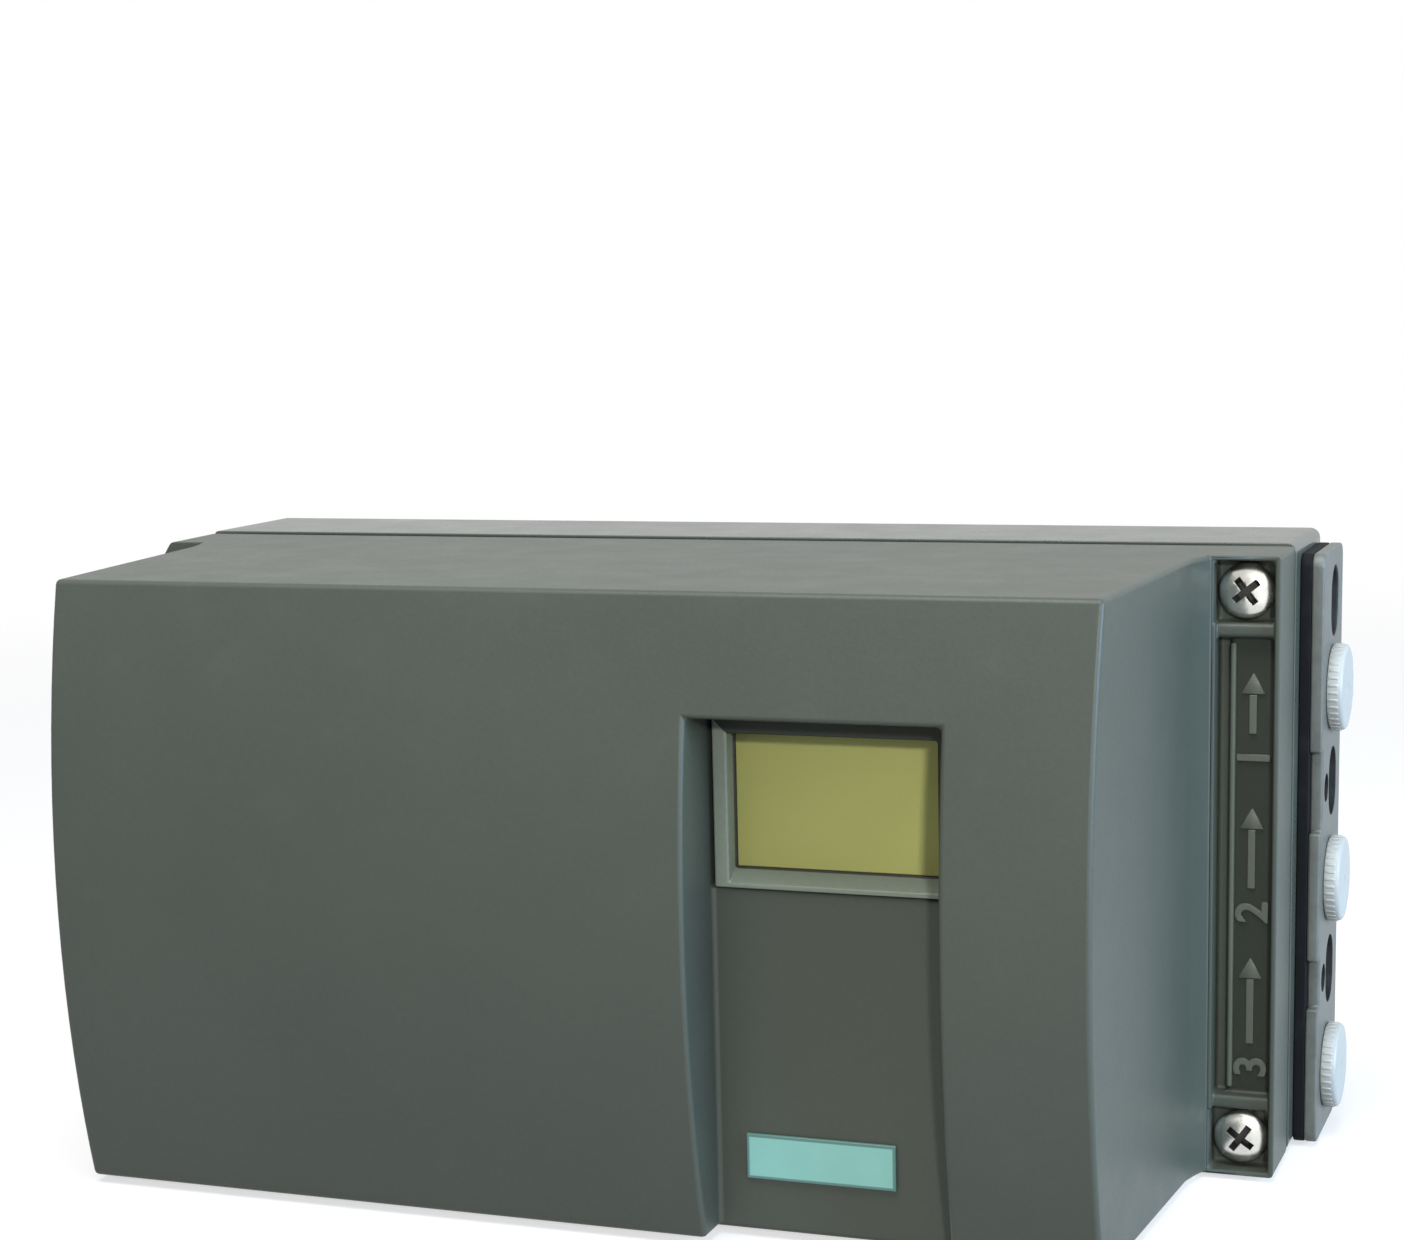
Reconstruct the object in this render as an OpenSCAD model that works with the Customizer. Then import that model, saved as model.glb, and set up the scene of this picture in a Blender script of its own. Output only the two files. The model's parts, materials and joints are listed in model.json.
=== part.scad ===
// Electropneumatic valve positioner: a rear base that bolts to the valve bracket, a deep crowned
// cover with a display window, pneumatic ports on the right, cable entries on the left, and a
// feedback shaft through the rear face that turns a potentiometer inside.
// Millimetres. X runs right and Z up as seen from the front; the front faces -Y.
// The modules work in the housing's frame: middle of the housing, mounting face at y = 0.
// The nodes are shifted so that the origin lies on the feedback shaft at the mounting face.

/* [Base] */
// Width of the base and of the cover's flange
housing_w = 181.6; // [180:0.2:196]
// Height of the base
housing_h = 91.2; // [91:0.2:100]
// Depth of the base, from mounting face to rim
base_depth = 23.6; // [23.4:0.1:28]
// Thickness of the base's top and bottom walls
base_wall = 4; // [3.6:0.1:5]
// Thickness of the base's rear wall
back_wall = 3; // [2.6:0.1:3.2]
// Width of the solid ends of the base, which carry the cable entries and ports
end_wall = 14.2; // [13.8:0.1:15]
// Corner radius of the base
base_corner = 1.5; // [1:0.5:3]
// Width of the corners cut off the left end
left_cut_x = 4.7; // [3:0.1:5]
// Height of the corners cut off the left end
left_cut_z = 7.1; // [6:0.1:8]

/* [Cover] */
// Depth of the cover, from its seat to the edges of its front
cover_depth = 61.4; // [60:0.2:75]
// How far the front bulges past its top and bottom edges
front_crown = 5.8; // [3:0.2:9]
// Width of each side flange, which the cover's body stands inside of
flange_w = 10.3; // [9.8:0.1:11]
// How far each side of the cover slopes in towards its front
side_draft = 4; // [3:0.5:5]
// Step from the base's top and bottom in to the cover's
cover_step = 0.3; // [0.1:0.05:0.6]
// How far the cover's top and bottom slope in towards its front
top_draft = 0.6; // [0.2:0.1:1.2]
// Wall thickness of the cover
cover_wall = 2.6; // [2.2:0.1:3]
// Depth of the cover's side flanges
shoulder_depth = 13; // [12:0.5:16]
// Gap between base rim and cover, bridged by the gasket
seam_gap = 1; // [0.6:0.1:1.4]
// Radius of the flare from the cover's side into the flange
flare_r = 22; // [18:1:26]
// How far forward of the flange that flare starts
flare_len = 9; // [6:0.5:11]

/* [Display channel] */
// Distance of the channel from the housing's right side
channel_right = 34.7; // [33:0.1:38]
// Width of the channel
channel_w = 34.9; // [34:0.1:38]
// Height of the channel's upper end above the housing's middle
channel_top = 28.2; // [27.4:0.2:32]
// Depth of the channel's floor behind the cover's front edges
channel_depth = 5.5; // [4:0.5:7]
// Thickness of the channel's floor
channel_floor = 2.5; // [2:0.1:3]
// Height of the window frame
window_h = 23.4; // [22:0.1:26]
// Width of the window frame's rim
window_rim = 2.2; // [2:0.1:3.2]
// Width of the label plate
label_w = 21.4; // [15:0.1:26]
// Height of the label plate
label_h = 6.4; // [4:0.1:9]
// Distance of the label plate from the channel's left edge
label_inset = 4.4; // [2:0.1:8]

/* [Cover screws] */
// Distance of the cover screws from the housing's side
screw_inset_x = 5.1; // [5:0.1:5.6]
// Distance of the cover screws from the housing's top and bottom
screw_inset_z = 5.6; // [5.6:0.1:6.4]
// Thread radius of the cover screws
screw_r = 2; // [1.8:0.1:2.2]
// Head radius of the cover screws
screw_head_r = 4; // [3.6:0.1:4.1]
// Head height of the cover screws
screw_head_h = 2.6; // [2:0.1:3]
// Thickness of the cover's floor under the screw heads
screw_floor = 9; // [7:0.1:9.6]

/* [Pneumatic ports] */
// Distance of the lowest port from the base's underside
port_low = 10.3; // [9.8:0.1:11]
// Distance of the highest port from the base's top
port_high = 22.7; // [21:0.1:24]
// Radius of the port bores
port_r = 5.75; // [5.4:0.05:5.9]
// Depth of the port bores
port_len = 14; // [11:0.5:15]
// Distance of the ports from the mounting face
port_y = 10.2; // [10.1:0.1:10.4]
// Thickness of the port plate outside the base
plate_t = 1.8; // [1.5:0.1:2.5]
// Thickness of the port gasket
port_gasket_t = 1.7; // [1:0.1:2]
// Head radius of the transport plugs
plug_head_r = 6.5; // [6.3:0.1:7.5]
// Head height of the transport plugs
plug_head_h = 2.4; // [1.5:0.1:4]

/* [Feedback shaft] */
// Gap between the terminal carrier and the shaft's gear
gear_gap = 3.6; // [2:0.1:5]
// Shaft position above the housing's middle
shaft_z = -8; // [-9:1:-6]
// Shaft radius
shaft_r = 4; // [3.6:0.1:4.2]
// Length of shaft outside the mounting face
shaft_out = 20; // [15:1:30]
// Gear module of the feedback gears
gear_module = 0.8; // [0.78:0.01:0.84]
// Teeth on the gear of the shaft
drive_teeth = 48; // [46:2:48]
// Teeth on the gear of the potentiometer
pot_teeth = 24; // [22:2:24]
// Width of the feedback gears
gear_w = 5; // [4:0.5:6]
// Radius of the clutch wheel
clutch_r = 17; // [14:0.5:18]

/* [Mounting threads] */
// Horizontal distance between the four small threads
m6_spacing_x = 60; // [56:1:62]
// Vertical distance between the four small threads
m6_spacing_z = 30; // [28:1:32]
// Core radius of the four small threads
m6_r = 2.5; // [2.4:0.1:2.6]
// Distance between the two large threads
m8_spacing = 50; // [48:1:54]
// Height of the two large threads above the shaft
m8_rise = 29; // [28:0.5:30]
// Core radius of the two large threads
m8_r = 3.4; // [3.2:0.1:3.5]

/* [Cable entries] */
// Distance between the two cable entries
entry_spacing = 40; // [32:1:44]
// Thread radius of the cable entries
entry_r = 10; // [9.5:0.1:10]
// Radius of the cable that the gland's seal takes
cable_r = 4.5; // [3:0.1:5]
// Width of the terminal carrier
carrier_w = 30; // [29:0.5:32]

/* [Valve block] */
// Width of the valve block
valve_w = 46.6; // [44:0.2:48]
// Depth of the valve block
valve_depth = 31; // [29:1:34]
// Gap between the valve block and the base's top and bottom walls
valve_gap = 3.6; // [2:0.1:5]

/* [Hidden] */
$fn = 48;
// Clearance of a turning or sliding fit, of a seated fit, and of a loose fit
run = 0.05;
seat = 0.03;
loose = 0.3;
eps = 0.01;

half_w = housing_w / 2;
half_h = housing_h / 2;
rim_y = -base_depth;
seat_y = rim_y - seam_gap;
front_y = seat_y - cover_depth;
shoulder_y = seat_y - shoulder_depth;
floor_y = front_y + channel_depth;
floor_back_y = floor_y + channel_floor;
cavity_x = half_w - end_wall;
cavity_z = half_h - base_wall;
cover_root_w = housing_w - 2 * flange_w;
cover_front_w = cover_root_w - 2 * side_draft;
cover_root_h = housing_h - 2 * cover_step;
cover_front_h = cover_root_h - 2 * top_draft;
cored_wall = 3;
cored_depth = 9;
cored_half = 4;
cored_edge = 4.6;
boss_wall = 2.2;
m6_wall = 1.7;
m8_wall = 2.1;
m6_len = 9;
m8_len = 10;
rear_screw_r = 1.8;
rear_head_r = 3.4;
rear_head_h = 1.8;

// Gasket and screws of the cover
gasket_w = 2;
gasket_groove = 1.5;
gasket_corner = 3;
gasket_half_x = cover_root_w / 2 - cover_wall / 2;
gasket_half_z = cover_root_h / 2 - cover_wall / 2;
screw_x = half_w - screw_inset_x;
screw_z = half_h - screw_inset_z;
screw_seat_y = seat_y - screw_floor;
screw_end_y = rim_y + 5.5;
insert_wall = 0.9;
insert_len = 6;
rim_wall = 0.8;
pocket_half_x = screw_inset_x - rim_wall;
pocket_half_z = screw_head_r + 0.5;
rib_t = 2;
panel_depth = 3;
panel_y = shoulder_y + panel_depth;
drain_y = panel_y + 1.5;
drain_w = 1.8;
groove_x0 = body_half(shoulder_y, cover_front_w, cover_root_w) + 2;
groove_x1 = half_w - rim_wall;
left_screw_z = half_h - left_cut_z - pocket_half_z - 0.5;
cover_screw_at = concat([for (s = [-1, 1]) [-screw_x, s * left_screw_z]],
    [for (s = [-1, 1]) [screw_x, s * screw_z]]);

// Window
frame_w = channel_w - 1.2;
frame_proud = 0.6;
frame_front_y = floor_y - frame_proud;
frame_groove = 1.5;
channel_x1 = half_w - channel_right;
channel_x0 = channel_x1 - channel_w;
disp_x = (channel_x0 + channel_x1) / 2;
disp_z = channel_top - 1 - window_h / 2;
pane_t = 2;
pane_lap = 1;
pane_y = floor_y + 2.2;
pane_back_y = pane_y + pane_t;
open_w = frame_w - 2 * window_rim;
open_h = window_h - 2 * window_rim;
label_t = 0.6;
label_rise = 10.8;

// Ports
gasket_x = half_w;
plate_x = gasket_x + port_gasket_t;
plate_face_x = plate_x + plate_t;
port_pitch = (housing_h - port_low - port_high) / 2;
port_zs = [for (i = [2, 1, 0]) -half_h + port_low + i * port_pitch];
gap_zs = [for (i = [0, 1]) (port_zs[i] + port_zs[i + 1]) / 2];
manifold_y0 = -port_y - port_r - 1.25;
manifold_y1 = -back_wall - 0.2;
manifold_z0 = port_zs[2] - port_r - 2;
manifold_z1 = half_h - base_wall - 0.2;
plate_y0 = manifold_y0 - 2.6;
plate_y1 = -0.4;
plate_z0 = -half_h + 0.3;
plate_z1 = half_h - 2;
tie_y = manifold_y1 - 4.9;
tie_r = 2;
tie_head_r = 3.4;
tie_zs = [manifold_z1 - 5.8, gap_zs[0], gap_zs[1]];
tie_sink = 6;
tie_slot = 3;
gauge_r = 2.1;
gauge_y = manifold_y0 + 2.9;
gauge_len = 10;
plug_r = port_r - run;
plug_len = 10;
plug_wall = 1.2;
plate_corner = 2;
notch_depth = 1.6;
notch_half_z = [6, 3.6];

// Valve block, electronics and display
valve_right = cavity_x;
valve_left = valve_right - valve_w;
valve_h = 2 * (cavity_z - valve_gap);
valve_y1 = -back_wall - 0.2;
valve_front_y = valve_y1 - valve_depth;
valve_screw_inset = 5;
valve_screw_at = [for (x = [valve_left + valve_screw_inset, valve_right - valve_screw_inset], z = [-1, 1])
    [x, z * (valve_h / 2 - 9)]];
control_stem_r = 2;
control_stem = 8;
passage_r = 2.4;
pad_t = 1.5;
lcd_w = frame_w - 1.7;
lcd_h = window_h - 3;
lcd_border = 1.6;
lcd_gap = 2.6;
lcd_t = 2.3;
lcd_stack = 8.4;
board_t = 1.6;
lcd_front_y = pane_back_y + lcd_gap;
board_front_y = lcd_front_y + lcd_stack;
board_back_y = board_front_y + board_t;
tray_left = 6.9;
tray_right = 8.4;
tray_drop = 34.3;
tray_top_gap = 3.4;
tray_x0 = disp_x - lcd_w / 2 - lcd_border - tray_left;
tray_x1 = disp_x + lcd_w / 2 + lcd_border + tray_right;
tray_z0 = disp_z - tray_drop;
tray_z1 = cover_front_h / 2 - cover_wall - tray_top_gap;
tray_wall = 2;
board_screw_r = 1.4;
board_screw_inset = 4;
board_screw_at = [for (x = [tray_x0 + board_screw_inset, tray_x1 - board_screw_inset],
    z = [tray_z0 + board_screw_inset, tray_z1 - board_screw_inset]) [x, z]];
lead_rise = valve_front_y - 9;
pilot_y1 = valve_front_y - pad_t;
pilot_t = 9;
pilot_half_x = 13;
pilot_half_z = 15;
pilot_x = tray_x1 - tray_wall - pilot_half_x - 2.7;
pilot_z = disp_z - 4.8;
button_pitch = 11.75;
button_r = 3.5;
button_stem_r = 1.5;
button_drop = 24.8;
button_travel = 0.6;
button_z = disp_z - button_drop;
switch_t = 3;
switch_w = 6;
switch_y = board_front_y - switch_t;
button_cap_y = switch_y - button_travel - 0.8;
button_cap_t = 2.8;
button_xs = [for (i = [-1, 0, 1]) disp_x + i * button_pitch];
guide_y0 = button_cap_y - 1.4;
guide_y1 = button_cap_y - 0.2;
control_z = -valve_h / 2 + 9;
purge_x = valve_right - 10;
restrictor_xs = [valve_left + 8, valve_left + 19];
silencer_r = 6.5;
silencer_x = valve_right - 24;
silencer_z = -valve_h / 2 + 10;

// Terminal carrier, which sets the shaft's place
carrier_y = -22;
carrier_t = 2.5;
carrier_gap = 2.6;
carrier_x0 = -cavity_x + 3;
carrier_h = 2 * (cavity_z - carrier_gap);
leg_r = 3.6;
leg_inset = 4.5;
carrier_legs = [for (x = [carrier_x0 + leg_inset, carrier_x0 + carrier_w - leg_inset], z = [-1, 1])
    [x, z * (carrier_h / 2 - leg_inset)]];

// Shaft, gears and potentiometer
drive_pitch_r = gear_module * drive_teeth / 2;
pot_pitch_r = gear_module * pot_teeth / 2;
shaft_x = carrier_x0 + carrier_w + gear_gap + drive_pitch_r + gear_module;
mount_m6 = [for (i = [-1, 1], k = [-1, 1]) [shaft_x + i * m6_spacing_x / 2, shaft_z + k * m6_spacing_z / 2]];
mount_m8 = [for (i = [-1, 1]) [shaft_x + i * m8_spacing / 2, shaft_z + m8_rise]];
hub_r = 11;
hub_len = 11;
bush_r = shaft_r + 2;
seal_r = shaft_r + 4;
seal_t = 2.6;
hub_y = -back_wall - hub_len;
circlip_t = 1;
circlip_r = shaft_r + 2.4;
groove_depth = 0.5;
seal_groove = 0.8;
circlip_y = hub_y - 0.6 - circlip_t;
gear_y = circlip_y - 6.4;
gear_front_y = gear_y - gear_w;
spring_t = 1.2;
clutch_y = gear_front_y - spring_t - 0.2;
clutch_w = 8;
clutch_front_y = clutch_y - clutch_w;
nut_t = 2.5;
shaft_end_y = clutch_front_y - nut_t - 1;
mesh_gap = 0.08;
pot_x = shaft_x;
pot_z = shaft_z + drive_pitch_r + pot_pitch_r;
bracket_t = 2;
bracket_y = gear_y + 1.6;
bracket_half = 22;
pot_r = 9;
pot_y = bracket_y + bracket_t;
pot_len = 10;
pot_spindle_r = 3;
post_r = 3.5;
post_rise = 12;
post_out = 16;
bracket_posts = [for (i = [-1, 1]) [pot_x + i * post_out, pot_z + post_rise]];
bracket_screw_r = 1.3;
selector_x = pot_x + 20;
selector_z = pot_z + 2;
bracket_right = selector_x + 6;
lead_gap = 3.15;

// Cable entries and terminals
entry_y = -base_depth / 2;
entry_zs = [entry_spacing / 2, -entry_spacing / 2];
entry_af = 2 * entry_r + 3.2;
entry_seal_t = 1.2;
entry_hex_t = 5;
gland_neck_r = entry_r - 0.8;
gland_neck = 9;
gland_nut_len = 15;
gland_bore_r = cable_r + 1.8;
entry_face_x = -half_w - entry_seal_t;
gland_neck_x = entry_face_x - entry_hex_t;
gland_seal_x = gland_neck_x - gland_neck;
gland_seal_len = 6;
gland_play = 0.4;
key_slot_half = 6;
key_slot_w = 1.8;
key_slot_depth = 1.6;
gland_nut_x = gland_neck_x - gland_play - gland_nut_len;
cored_zs = [[-cored_half, cored_half], [entry_spacing / 2 + entry_r + cored_wall, half_h - cored_edge],
    [-half_h + cored_edge, -entry_spacing / 2 - entry_r - cored_wall]];
terminal_count = 10;
terminal_pitch = 6.4;
terminal_w = 13;
terminal_x = -cavity_x + 9;
terminal_t = 13;
terminal_step = 4;
terminal_y1 = carrier_y - carrier_t;
terminal_y0 = terminal_y1 - terminal_t;
terminal_half_z = terminal_count * terminal_pitch / 2;
terminal_zs = [for (i = [0 : terminal_count - 1]) (i + 0.5) * terminal_pitch - terminal_half_z];
terminal_screw_x = terminal_x + terminal_w - terminal_step;
terminal_screw_r = 2.2;
shield_w = 9;
shield_t = 1.2;
shield_x = carrier_x0 + carrier_w - shield_w - 1;
shield_h = carrier_h - 18;
shield_lip = 6;
shield_screw_r = 1.5;
shield_screw_z = shield_h / 2 - 6;

// Helpers: extrusions and rods along each axis

// A flat shape in (x, z), swept from y0 to y1
module along_y(y0, y1) {
    translate([0, y1, 0]) rotate([90, 0, 0]) linear_extrude(y1 - y0) children();
}

// A flat shape in (y, z), swept from x0 to x1
module along_x(x0, x1) {
    translate([x0, 0, 0]) rotate([90, 0, 90]) linear_extrude(x1 - x0) children();
}

// A flat shape in (x, y), swept from z0 to z1
module along_z(z0, z1) {
    translate([0, 0, z0]) linear_extrude(z1 - z0) children();
}

// A round rod along Y at (x, z)
module rod_y(r, x, z, y0, y1) {
    translate([x, y0, z]) rotate([-90, 0, 0]) cylinder(r = r, h = y1 - y0);
}

// A round rod along X at (y, z)
module rod_x(r, y, z, x0, x1) {
    translate([x0, y, z]) rotate([0, 90, 0]) cylinder(r = r, h = x1 - x0);
}

// A box between two corners
module box(a, b) {
    translate(a) cube([b[0] - a[0], b[1] - a[1], b[2] - a[2]]);
}

// A flat rectangle about the middle, with round corners
module round_rect(w, h, r) {
    square([w - 2 * r, h], center = true);
    square([w, h - 2 * r], center = true);
    for (x = [-1, 1], y = [-1, 1])
        translate([x * (w / 2 - r), y * (h / 2 - r)]) circle(r);
}

// A flat slot with round ends, standing upright
module slot(r, half_len) {
    square([2 * r, 2 * half_len], center = true);
    for (s = [-1, 1]) translate([0, s * half_len]) circle(r);
}

// A cross recess in a screw head whose top is at y
module cross_recess(x, z, y, depth, arm, width) {
    box([x - arm, y - eps, z - width / 2], [x + arm, y + depth, z + width / 2]);
    box([x - width / 2, y - eps, z - arm], [x + width / 2, y + depth, z + arm]);
}

// A pan-head screw facing the front: head seat at y, thread end at y_end
module pan_screw(x, z, y, y_end, r, head_r, head_h) {
    rim_h = head_h * 0.45;
    crown_r = head_r * 0.62;
    difference() {
        union() {
            rod_y(head_r, x, z, y - rim_h, y);
            translate([x, y - rim_h, z]) rotate([90, 0, 0])
                cylinder(r1 = head_r, r2 = crown_r, h = head_h - rim_h);
            rod_y(r, x, z, y - eps, y_end);
        }
        cross_recess(x, z, y - head_h, head_h * 0.6, head_r * 0.58, head_r * 0.26);
    }
}

// A flat-head screw facing the rear: head flush with y, thread end at y_end
module rear_screw(x, z, y, y_end, r, head_r, head_h) {
    difference() {
        union() {
            translate([x, y - head_h, z]) rotate([-90, 0, 0]) cylinder(r1 = r, r2 = head_r, h = head_h);
            rod_y(r, x, z, y_end, y - head_h + eps);
        }
        mirror([0, 1, 0]) cross_recess(x, z, -y, head_h * 0.6, head_r * 0.6, head_r * 0.26);
    }
}

// Involute gears

function involute_angle(r, base_r) = let (phi = acos(min(1, base_r / r))) tan(phi) * 180 / PI - phi;

// Half the angle that a tooth fills at radius r
function tooth_half_angle(r, teeth, pitch_r, gap) =
    let (base_r = pitch_r * cos(20))
    90 / teeth - gap / pitch_r * 180 / PI + involute_angle(pitch_r, base_r)
        - involute_angle(max(r, base_r), base_r);

// Outline of a gear with one tooth centred on the angle given by turn
function gear_outline(teeth, module_mm, gap, turn) =
    let (pitch_r = module_mm * teeth / 2, root_r = pitch_r - 1.25 * module_mm, tip_r = pitch_r + module_mm,
        radii = [root_r, max(root_r + eps, pitch_r * cos(20)), pitch_r - module_mm * 0.3,
            pitch_r + module_mm * 0.3, tip_r])
    [for (i = [0 : teeth - 1], side = [-1, 1], k = [0 : len(radii) - 1])
        let (r = side < 0 ? radii[k] : radii[len(radii) - 1 - k],
            a = turn + 360 * i / teeth + side * tooth_half_angle(r, teeth, pitch_r, gap))
        r * [cos(a), sin(a)]];

// Base and its seals and inserts

// The two corners that are cut off the left end, from y0 to y1
module left_corners(y0, y1) {
    slope = left_cut_z / left_cut_x;
    along_y(y0, y1) for (s = [-1, 1]) scale([1, s]) polygon([
        [-half_w - 1, half_h + 1], [-half_w - 1, half_h - left_cut_z - slope],
        [-half_w + left_cut_x + 1 / slope, half_h + 1]]);
}

module gasket_outline(grow) {
    difference() {
        round_rect(2 * gasket_half_x + gasket_w + 2 * grow, 2 * gasket_half_z + gasket_w + 2 * grow,
            gasket_corner + grow);
        round_rect(2 * gasket_half_x - gasket_w - 2 * grow, 2 * gasket_half_z - gasket_w - 2 * grow,
            gasket_corner - gasket_w / 2 - grow);
    }
}

module rear_screw_hole(p) {
    rod_y(rear_screw_r + run, p[0], p[1], -back_wall - eps, eps);
    translate([p[0], -rear_head_h - run, p[1]]) rotate([-90, 0, 0])
        cylinder(r1 = rear_screw_r + run, r2 = rear_head_r + 2 * run, h = rear_head_h + 2 * run);
}

module base_housing() {
    color("dimgray")
    difference() {
        union() {
            difference() {
                along_y(rim_y, 0) round_rect(housing_w, housing_h, base_corner);
                box([-cavity_x, rim_y - 1, -cavity_z], [cavity_x, -back_wall, cavity_z]);
            }
            rod_y(hub_r, shaft_x, shaft_z, hub_y, -back_wall + eps);
            for (p = mount_m6) rod_y(m6_r + m6_wall + boss_wall, p[0], p[1], -m6_len - 2, -back_wall + eps);
            for (p = mount_m8) rod_y(m8_r + m8_wall + boss_wall, p[0], p[1], -m8_len - 2, -back_wall + eps);
            for (p = bracket_posts) rod_y(post_r, p[0], p[1], pot_y, -back_wall + eps);
        }
        left_corners(rim_y - 1, 1);
        rod_y(bush_r + seat, shaft_x, shaft_z, hub_y - 1, 1);
        rod_y(seal_r + seat, shaft_x, shaft_z, -seal_t - 0.3, 1);
        for (p = mount_m6) rod_y(m6_r + m6_wall + seat, p[0], p[1], -m6_len, 1);
        for (p = mount_m8) rod_y(m8_r + m8_wall + seat, p[0], p[1], -m8_len, 1);
        for (p = bracket_posts) rod_y(bracket_screw_r + seat, p[0], p[1], pot_y - 1, pot_y + 8);
        for (p = cover_screw_at) rod_y(screw_r + insert_wall + seat, p[0], p[1], rim_y - 1, rim_y + insert_len);
        for (p = carrier_legs) rear_screw_hole(p);
        for (p = valve_screw_at) rear_screw_hole(p);
        for (z = entry_zs) rod_x(entry_r + run, entry_y, z, -half_w - 1, -cavity_x + 1);
        for (z = cored_zs) box([-half_w + cored_wall, -cored_depth, z[0]], [-cavity_x - cored_wall, 1, z[1]]);
        along_y(rim_y - 1, rim_y + gasket_groove) gasket_outline(run);
        box([cavity_x - 1, manifold_y0 - 0.2, manifold_z0 - 0.2], [half_w + 1, -back_wall, manifold_z1 + 0.2]);
        rod_y(silencer_r + seat, silencer_x, silencer_z, -back_wall - 1, 1);
    }
}

module cover_gasket() {
    color("black") along_y(seat_y, rim_y + gasket_groove) gasket_outline(0);
}

module cover_screw_inserts() {
    color("goldenrod") for (p = cover_screw_at) difference() {
        rod_y(screw_r + insert_wall, p[0], p[1], rim_y, rim_y + insert_len - 0.1);
        rod_y(screw_r + run, p[0], p[1], rim_y - 1, rim_y + insert_len);
    }
}

module mount_insert(p, r, wall, length) {
    difference() {
        rod_y(r + wall, p[0], p[1], -length + 0.05, 0);
        rod_y(r, p[0], p[1], -length, 1);
    }
}

module mounting_inserts() {
    color("goldenrod") {
        for (p = mount_m6) mount_insert(p, m6_r, m6_wall, m6_len);
        for (p = mount_m8) mount_insert(p, m8_r, m8_wall, m8_len);
    }
}

// Pneumatic port plate, its gasket, screws and transport plugs

module plate_outline() {
    translate([(plate_y0 + plate_y1) / 2, (plate_z0 + plate_z1) / 2])
        round_rect(plate_y1 - plate_y0, plate_z1 - plate_z0, plate_corner);
}

module manifold_outline(grow) {
    translate([manifold_y0 - grow, manifold_z0 - grow])
        square([manifold_y1 - manifold_y0 + 2 * grow, manifold_z1 - manifold_z0 + 2 * grow]);
}

module port_gasket() {
    color("black") along_x(gasket_x, plate_x) difference() {
        plate_outline();
        manifold_outline(0.1);
    }
}

module port_plate() {
    color("darkgray") difference() {
        union() {
            along_x(plate_x, plate_face_x) plate_outline();
            along_x(cavity_x, plate_x + eps) manifold_outline(0);
        }
        for (z = port_zs) {
            rod_x(port_r, -port_y, z, plate_face_x - port_len, plate_face_x + 1);
            rod_x(port_r / 2, -port_y, z, cavity_x - 1, plate_face_x);
        }
        for (z = tie_zs) {
            along_x(plate_face_x - tie_sink, plate_face_x + 1) translate([tie_y, z])
                slot(tie_head_r + loose, tie_slot / 2);
            rod_x(tie_r + run, tie_y, z, cavity_x - 1, plate_face_x);
        }
        for (z = gap_zs) rod_x(gauge_r, gauge_y, z, plate_face_x - gauge_len, plate_face_x + 1);
        for (i = [0, 1]) box([plate_x - eps, plate_y0 - 1, gap_zs[i] - notch_half_z[i]],
            [plate_face_x + 1, plate_y0 + notch_depth, gap_zs[i] + notch_half_z[i]]);
    }
}

module port_plate_screws() {
    head_h = 4;
    color("silver") for (z = tie_zs) difference() {
        union() {
            rod_x(tie_head_r, tie_y, z, plate_face_x - tie_sink, plate_face_x - tie_sink + head_h);
            rod_x(tie_r, tie_y, z, valve_right - 12, plate_face_x - tie_sink + eps);
        }
        translate([plate_face_x - tie_sink + head_h - 2, tie_y, z]) rotate([0, 90, 0])
            cylinder(r = 1.7, h = 3, $fn = 6);
    }
}

module port_plug(z) {
    color("whitesmoke") difference() {
        union() {
            rod_x(plug_head_r, -port_y, z, plate_face_x, plate_face_x + plug_head_h);
            rod_x(plug_r, -port_y, z, plate_face_x - plug_len, plate_face_x + eps);
        }
        rod_x(plug_r - plug_wall, -port_y, z, plate_face_x - plug_len - 1,
            plate_face_x + plug_head_h - plug_wall);
    }
}

module port_plug_upper() { port_plug(port_zs[0]); }
module port_plug_middle() { port_plug(port_zs[1]); }
module port_plug_lower() { port_plug(port_zs[2]); }

// Valve block with its pilot unit, restrictors and purge selector

module valve_block() {
    step = 3;
    color("darkslategray") difference() {
        union() {
            box([valve_left, valve_front_y, -valve_h / 2], [valve_right, valve_y1, valve_h / 2]);
            box([valve_left + step, valve_front_y - pad_t, tray_z0 + step], [tray_x1 - tray_wall - 1,
                valve_front_y + eps, tray_z1 - step - 5]);
        }
        for (z = port_zs) rod_x(passage_r, -port_y, z, valve_right - 14, valve_right + 1);
        for (z = tie_zs) rod_x(tie_r + run, tie_y, z, valve_right - 13, valve_right + 1);
        for (x = concat(restrictor_xs, [purge_x]))
            rod_y(control_stem_r + run, x, control_z, valve_front_y - 1, valve_front_y + control_stem + 0.5);
        for (p = valve_screw_at) rod_y(rear_screw_r + run, p[0], p[1], valve_y1 - 12, valve_y1 + 1);
        rod_y(silencer_r - 1.5, silencer_x, silencer_z, valve_y1 - 8, valve_y1 + 1);
    }
}

module valve_block_screws() {
    color("silver") for (p = valve_screw_at)
        rear_screw(p[0], p[1], 0, valve_y1 - 11, rear_screw_r, rear_head_r, rear_head_h);
}

module piezo_valve_unit() {
    color("tan") {
        box([pilot_x - pilot_half_x, pilot_y1 - pilot_t, pilot_z - pilot_half_z],
            [pilot_x + pilot_half_x, pilot_y1, pilot_z + pilot_half_z]);
        for (s = [-1, 1]) rod_y(3, pilot_x + s * pilot_half_x / 2, pilot_z, pilot_y1 - pilot_t - 2,
            pilot_y1 - pilot_t + eps);
    }
}

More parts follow.
